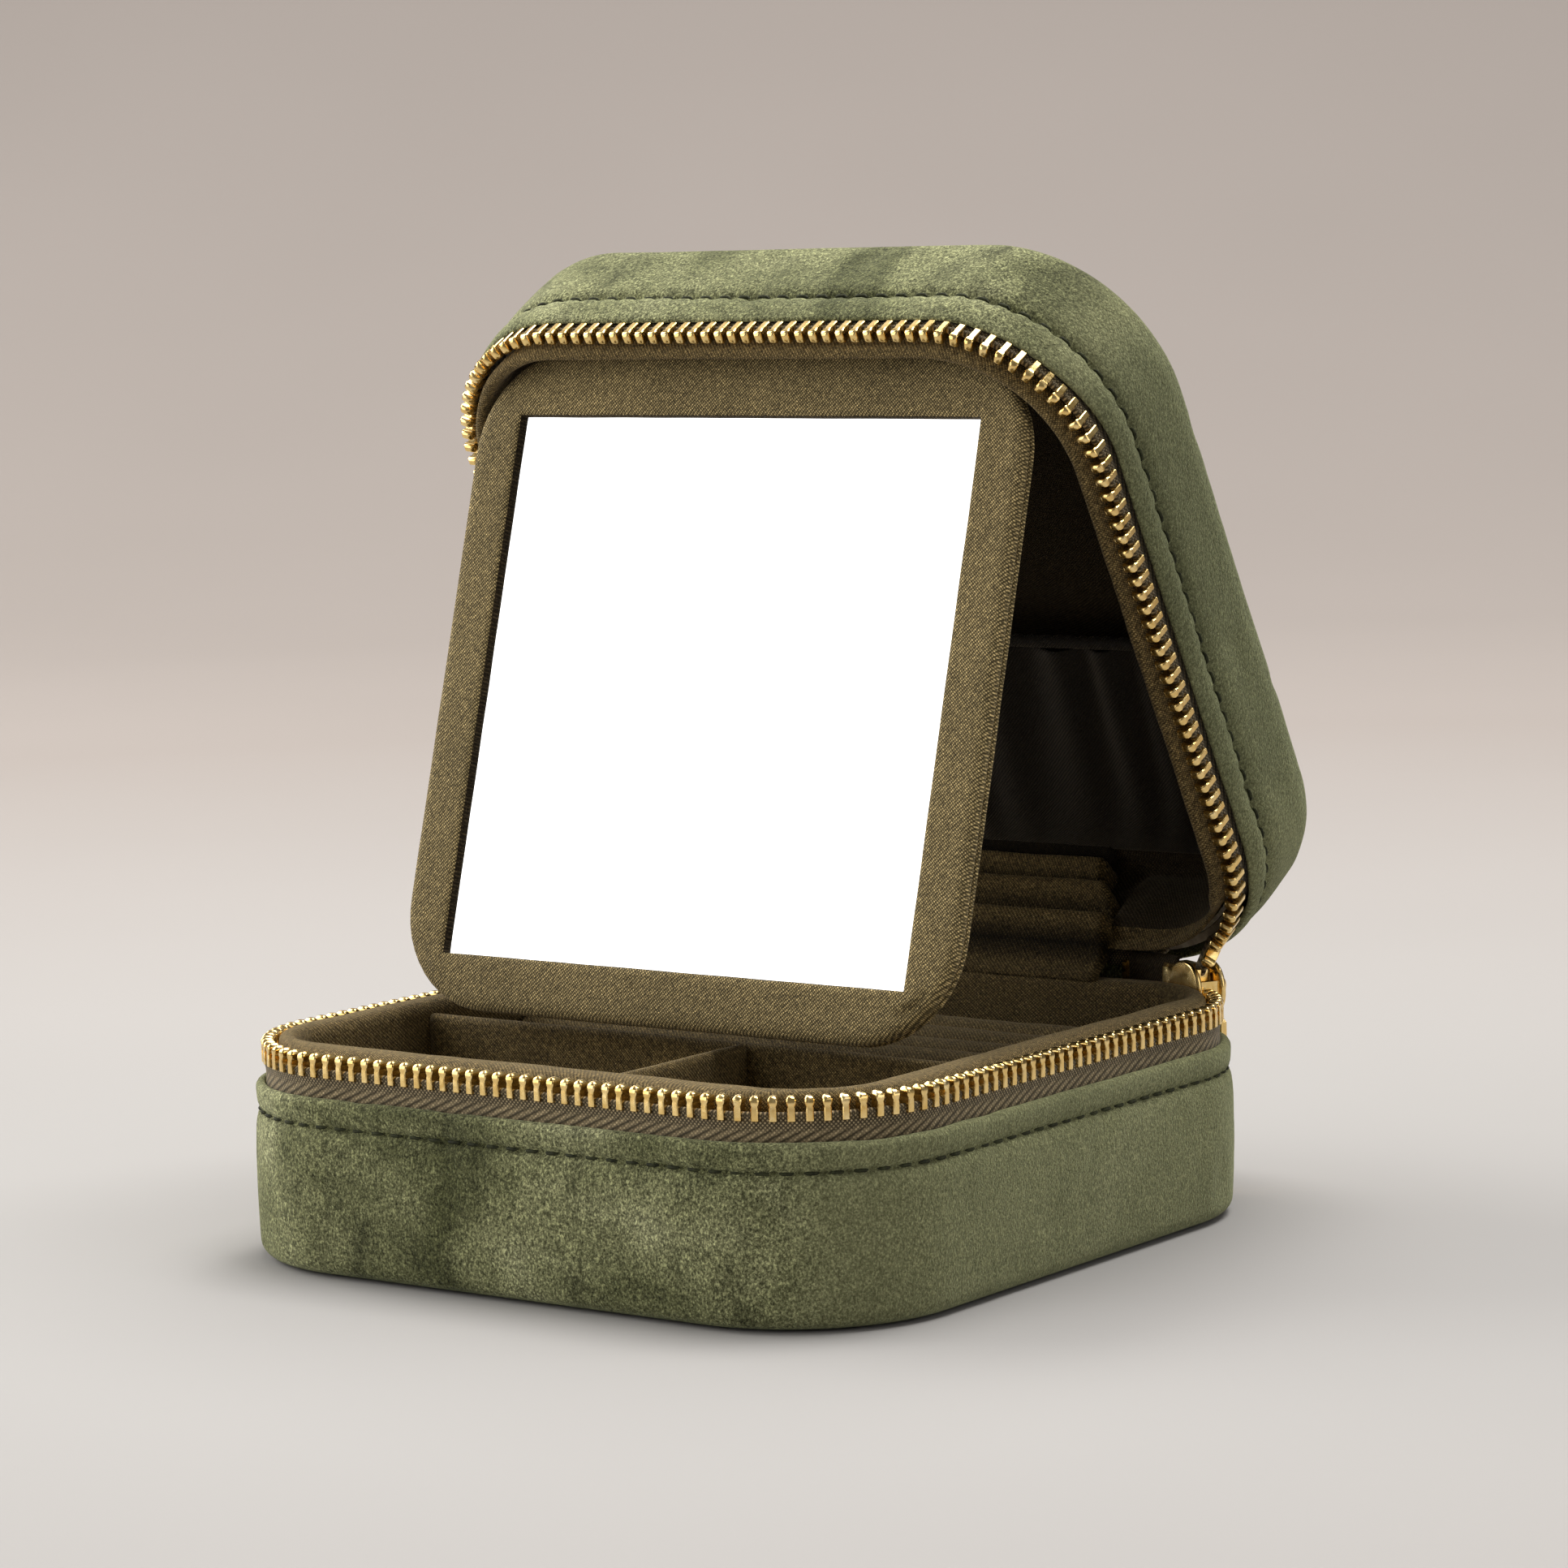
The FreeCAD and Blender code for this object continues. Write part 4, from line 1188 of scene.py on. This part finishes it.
def end_stops():
    """Two crimped metal staples that end the chain beside the spine."""
    net = Net()
    low, high = node_box("zip_end_stops")
    middle_y = (low.y + high.y) / 2
    sides, power = 20, 0.45
    for side in (-1, 1):
        x = side * (CHAIN_END - 0.6)
        columns = []
        for angle in turns(sides):
            out, up = (copysign(abs(part) ** power, part) for part in (cos(angle), sin(angle)))
            columns.append([(x + x_part, middle_y + 1.0 * grow * out, CLOSING + 2.2 * grow * up)
                            for x_part, grow in ((-0.4, 0.86), (-0.32, 1.0), (0.32, 1.0), (0.4, 0.86))])
        first = len(net.points)
        net.lattice(columns, list(range(sides + 1)), round_again=True)
        net.face(first + i * 4 for i in reversed(range(sides)))
        net.face(first + i * 4 + 3 for i in range(sides))
    attach(net.made("zip_end_staples", GOLD, sharp_deg=45), "base", "brass_zip", "zip_end_stops")


# ---- where lid and base chains meet

def tape_strip(name, columns, mirrored, step, material=TAPE, thickness=0.5):
    net = Net()
    net.lattice(columns[::-1] if mirrored else columns, [step * i for i in range(len(columns))])
    tape = net.made(name, material)
    thicken(tape, thickness)
    return tape


def rear_strip(name, mirrored, start, end, count, column_of, **looks):
    """A strip beside the spine, from one distance to another, on the right if mirrored."""
    places = [PLAN_LENGTH - s if mirrored else s for s in spread(start, end, count)]
    return tape_strip(name, [column_of(s) for s in places], mirrored, 1.0, **looks)


def corner_tail(name, mirrored, meet, degrees):
    """The short stretch of chain and tape that bends from the lid's row down into the closed chain. Its upper teeth
    leave the lid's row and lie on the base's row from the angle meet on."""
    def bent(angle):
        s = rear_distance(angle, mirrored)
        lid_place, base_place = LID @ tooth_place(s, CLOSING, -1), tooth_place(s, UPPER_TIP, -1)
        share = ease(angle, LID_CHAIN_DEG, meet)
        turned = lid_place.to_quaternion().slerp(base_place.to_quaternion(), share)
        place = lid_place.translation.lerp(base_place.translation, share)
        return Matrix.Translation(place) @ turned.to_matrix().to_4x4()

    def column(angle):
        s = rear_distance(angle, mirrored)
        edge, neck = (bent(angle) @ Vector((0, 0, z)) for z in (-1.9, -3.3))
        hem, inside = (LID @ Vector(inset_point(s, 2.2, z)) for z in (33.2, 36.0))
        return [edge, neck, neck.lerp(hem, 0.5), hem, inside]

    chain = teeth_piece("corner_chain_" + name, [bent(angle) for angle in degrees], None)
    columns = [column(angle) for angle in spread(LID_CHAIN_DEG - 1.5, degrees[-1] + 3.0, 12)]
    tape = tape_strip("corner_tape_" + name, columns, mirrored, 0.6)
    for piece, finish in ((chain, "brass_zip"), (tape, "zip_tape")):
        bridge(piece, SPINE_BODIES, (0, 0.0445, 0.0295), (0, 0.0445, 0.0330), finish)


def rear_tape_bridge(name, mirrored):
    """The tape between the closed chain beside the spine and the lid's hem."""
    def column(s):
        return [inset_point(s, 1.75, CLOSING + 1.4), inset_point(s, 1.7, CLOSING + 2.6),
                inset_point(s, 1.2, CLOSING + 3.4), LID @ Vector(inset_point(s, 2.1, 33.6)),
                LID @ Vector(inset_point(s, 2.1, 36.0))]

    tape = rear_strip("rear_tape_bridge_" + name, mirrored, SPINE_HALF - 1.5, rear_distance(UPPER_CHAIN_DEG), 12,
                      column)
    bridge(tape, SPINE_BODIES, (0, 0.0480, 0.0298), (0, 0.0500, 0.0318), "zip_tape")


def rear_inner_tape(name, mirrored):
    """The tape seen from inside, behind the closed stretch of chain."""
    rows = ((2.78, 23.0), (2.74, 25.0), (2.72, CLOSING), (2.72, CLOSING + 2.2), (2.5, CLOSING + 3.2),
            (2.0, CLOSING + 3.3))
    # Painted shade: the tape behind the closed chain takes the darkened lining instead of the tape's own cloth.
    tape = rear_strip(
        "rear_inner_tape_" + name, mirrored, CHAIN_END + 0.3, rear_distance(UPPER_CHAIN_DEG - 12), 14,
        lambda s: [inset_point(s, *row) for row in rows], material=PAINTED_SHADE_LINING, thickness=0.3)
    attach(tape, "base", "zip_tape")


# ---- hidden parts, light and camera

def dress_hidden_parts():
    """The boards and foams inside keep their CAD shape and take a board or foam finish."""
    for material, names in (
            (BOARD, ("base_bottom_board", "base_side_board", "lid_board")),
            (FOAM, ("base_wall_foam", "lid_top_foam", "lid_wall_foam")),
            (MIRROR, ("mirror_glass",))):
        for name in names:
            slots = frame["nodes"][name].material_slots
            if not slots:
                frame["nodes"][name].data.materials.append(material)
            for slot in slots:
                slot.material = material


CAMERA_AZIMUTH = 35.95
CAMERA_PLACE = (0.3709, -0.5018, 0.1270)
CAMERA_AIM = (-0.0020, 0.0119, 0.0552)
CAMERA_ROLL = -1.41


def paper_material():
    """Pale paper, with painted shade that makes it warmer and darker away from the case."""
    material, tree = new_material("pale_paper", Roughness=0.9, Specular_IOR_Level=0.15)
    tint = cloud(tree, 0.004, 2.0)
    floor = ramp(tree, tint, (0.3, (0.328, 0.319, 0.310)), (0.7, (0.341, 0.332, 0.323)))
    wall = ramp(tree, tint, (0.3, (0.272, 0.245, 0.227)), (0.7, (0.283, 0.255, 0.237)))
    away = shade(tree, "ShaderNodeVectorMath", {0: object_place(tree)}, operation="LENGTH").outputs["Value"]
    # Painted shade: from 0.12 m to 0.62 m from the case the paper turns to the darker tone named wall, on floor and
    # wall alike.
    feed(tree, Base_Color=mix(tree, map_range(tree, away, 0.12, 0.62), floor, wall))
    return material


def backdrop():
    """A seamless sweep in metres: floor, curve and wall."""
    front, radius, steps, height, half_width = 2.6, 0.9, 24, 3.4, 4.0
    profile = [(-front, 0.0)]
    profile += [(radius + radius * sin(turn), radius * (1 - cos(turn))) for turn in spread(0, pi / 2, steps + 1)]
    profile.append((2 * radius, height))
    turn = Matrix.Rotation(radians(CAMERA_AZIMUTH), 3, "Z")
    points = [turn @ Vector((x, y, z - 0.0002)) for x in (-half_width, half_width) for y, z in profile]
    count = len(profile)
    mesh = bpy.data.meshes.new("backdrop")
    mesh.from_pydata(points, [], [(i, count + i, count + i + 1, i + 1) for i in range(count - 1)])
    mesh.polygons.foreach_set("use_smooth", [True] * len(mesh.polygons))
    mesh.materials.append(paper_material())
    linked("backdrop", mesh)


def area_light(name, place, aim, width, height, power, colour):
    data = bpy.data.lights.new(name, "AREA")
    data.shape = "RECTANGLE"
    data.size, data.size_y = width, height
    data.energy = power
    data.color = colour
    obj = linked(name, data)
    obj.location = place
    obj.rotation_euler = (Vector(aim) - Vector(place)).to_track_quat("-Z", "Y").to_euler()


def lights():
    aim = (0, 0, 0.06)
    mirror_view = Vector((-0.577, -0.776, 0.257))  # what the mirror shows to the camera
    area_light("window", tuple(mirror_view * 1.15 + Vector((0, 0, 0.07))), aim, 1.3, 1.1, 9.0, (1.0, 0.985, 0.96))
    area_light("left", (-1.3, -0.1, 0.8), aim, 1.0, 1.0, 19.0, (1.0, 0.98, 0.95))
    area_light("above", (0.1, 0.55, 1.5), aim, 1.2, 1.2, 42.0, (1.0, 0.98, 0.96))
    area_light("right", (1.5, 0.05, 0.6), aim, 0.9, 1.2, 4.5, (1.0, 0.98, 0.97))
    area_light("wash", (-0.9, 1.0, 2.0), (-0.6, 1.9, 0.7), 2.0, 1.2, 10.0, (1.0, 0.95, 0.90))
    world = bpy.data.worlds.new("studio")
    world.use_nodes = True
    background = world.node_tree.nodes["Background"]
    background.inputs["Color"].default_value = (0.80, 0.77, 0.75, 1)
    background.inputs["Strength"].default_value = 0.24
    bpy.context.scene.world = world
    bpy.context.scene.view_settings.view_transform = "Standard"


def camera():
    data = bpy.data.cameras.new("camera")
    data.sensor_width = 36.0
    data.lens = 115.0
    data.clip_start = 0.01
    obj = linked("camera", data)
    place, aim = Vector(CAMERA_PLACE), Vector(CAMERA_AIM)
    look = (aim - place).to_track_quat("-Z", "Y").to_matrix().to_4x4()
    obj.matrix_world = Matrix.Translation(place) @ look @ Matrix.Rotation(radians(CAMERA_ROLL), 4, "Z")
    bpy.context.scene.camera = obj


camera()
lights()
backdrop()
dress_hidden_parts()

base_velvet()
lid_velvet()
stitching("base_topstitching", BASE_STITCH, "base", BASE)
stitching("lid_topstitching", LID_STITCH, "lid", LID)
zip_chains()
corner_tail("right", True, 57.0, (51.0, 57.0))
corner_tail("left", False, 64.0, (51.0, 57.0, 63.0, 69.0, 75.0))
for strip in (rear_tape_bridge, rear_inner_tape):
    strip("right", True)
    strip("left", False)
base_rim()
floor_pad()
divider("long_divider", 0)
divider("short_divider", 1)
for number in range(1, 7):
    ring_roll(number)
lid_ring()
lid_ceiling()
lid_pocket()
pocket_elastic()
mirror_flap()
flap_hinge_cloth()
spine_cover()
spine_lining()
zip_slider()
zip_pull()
end_stops()
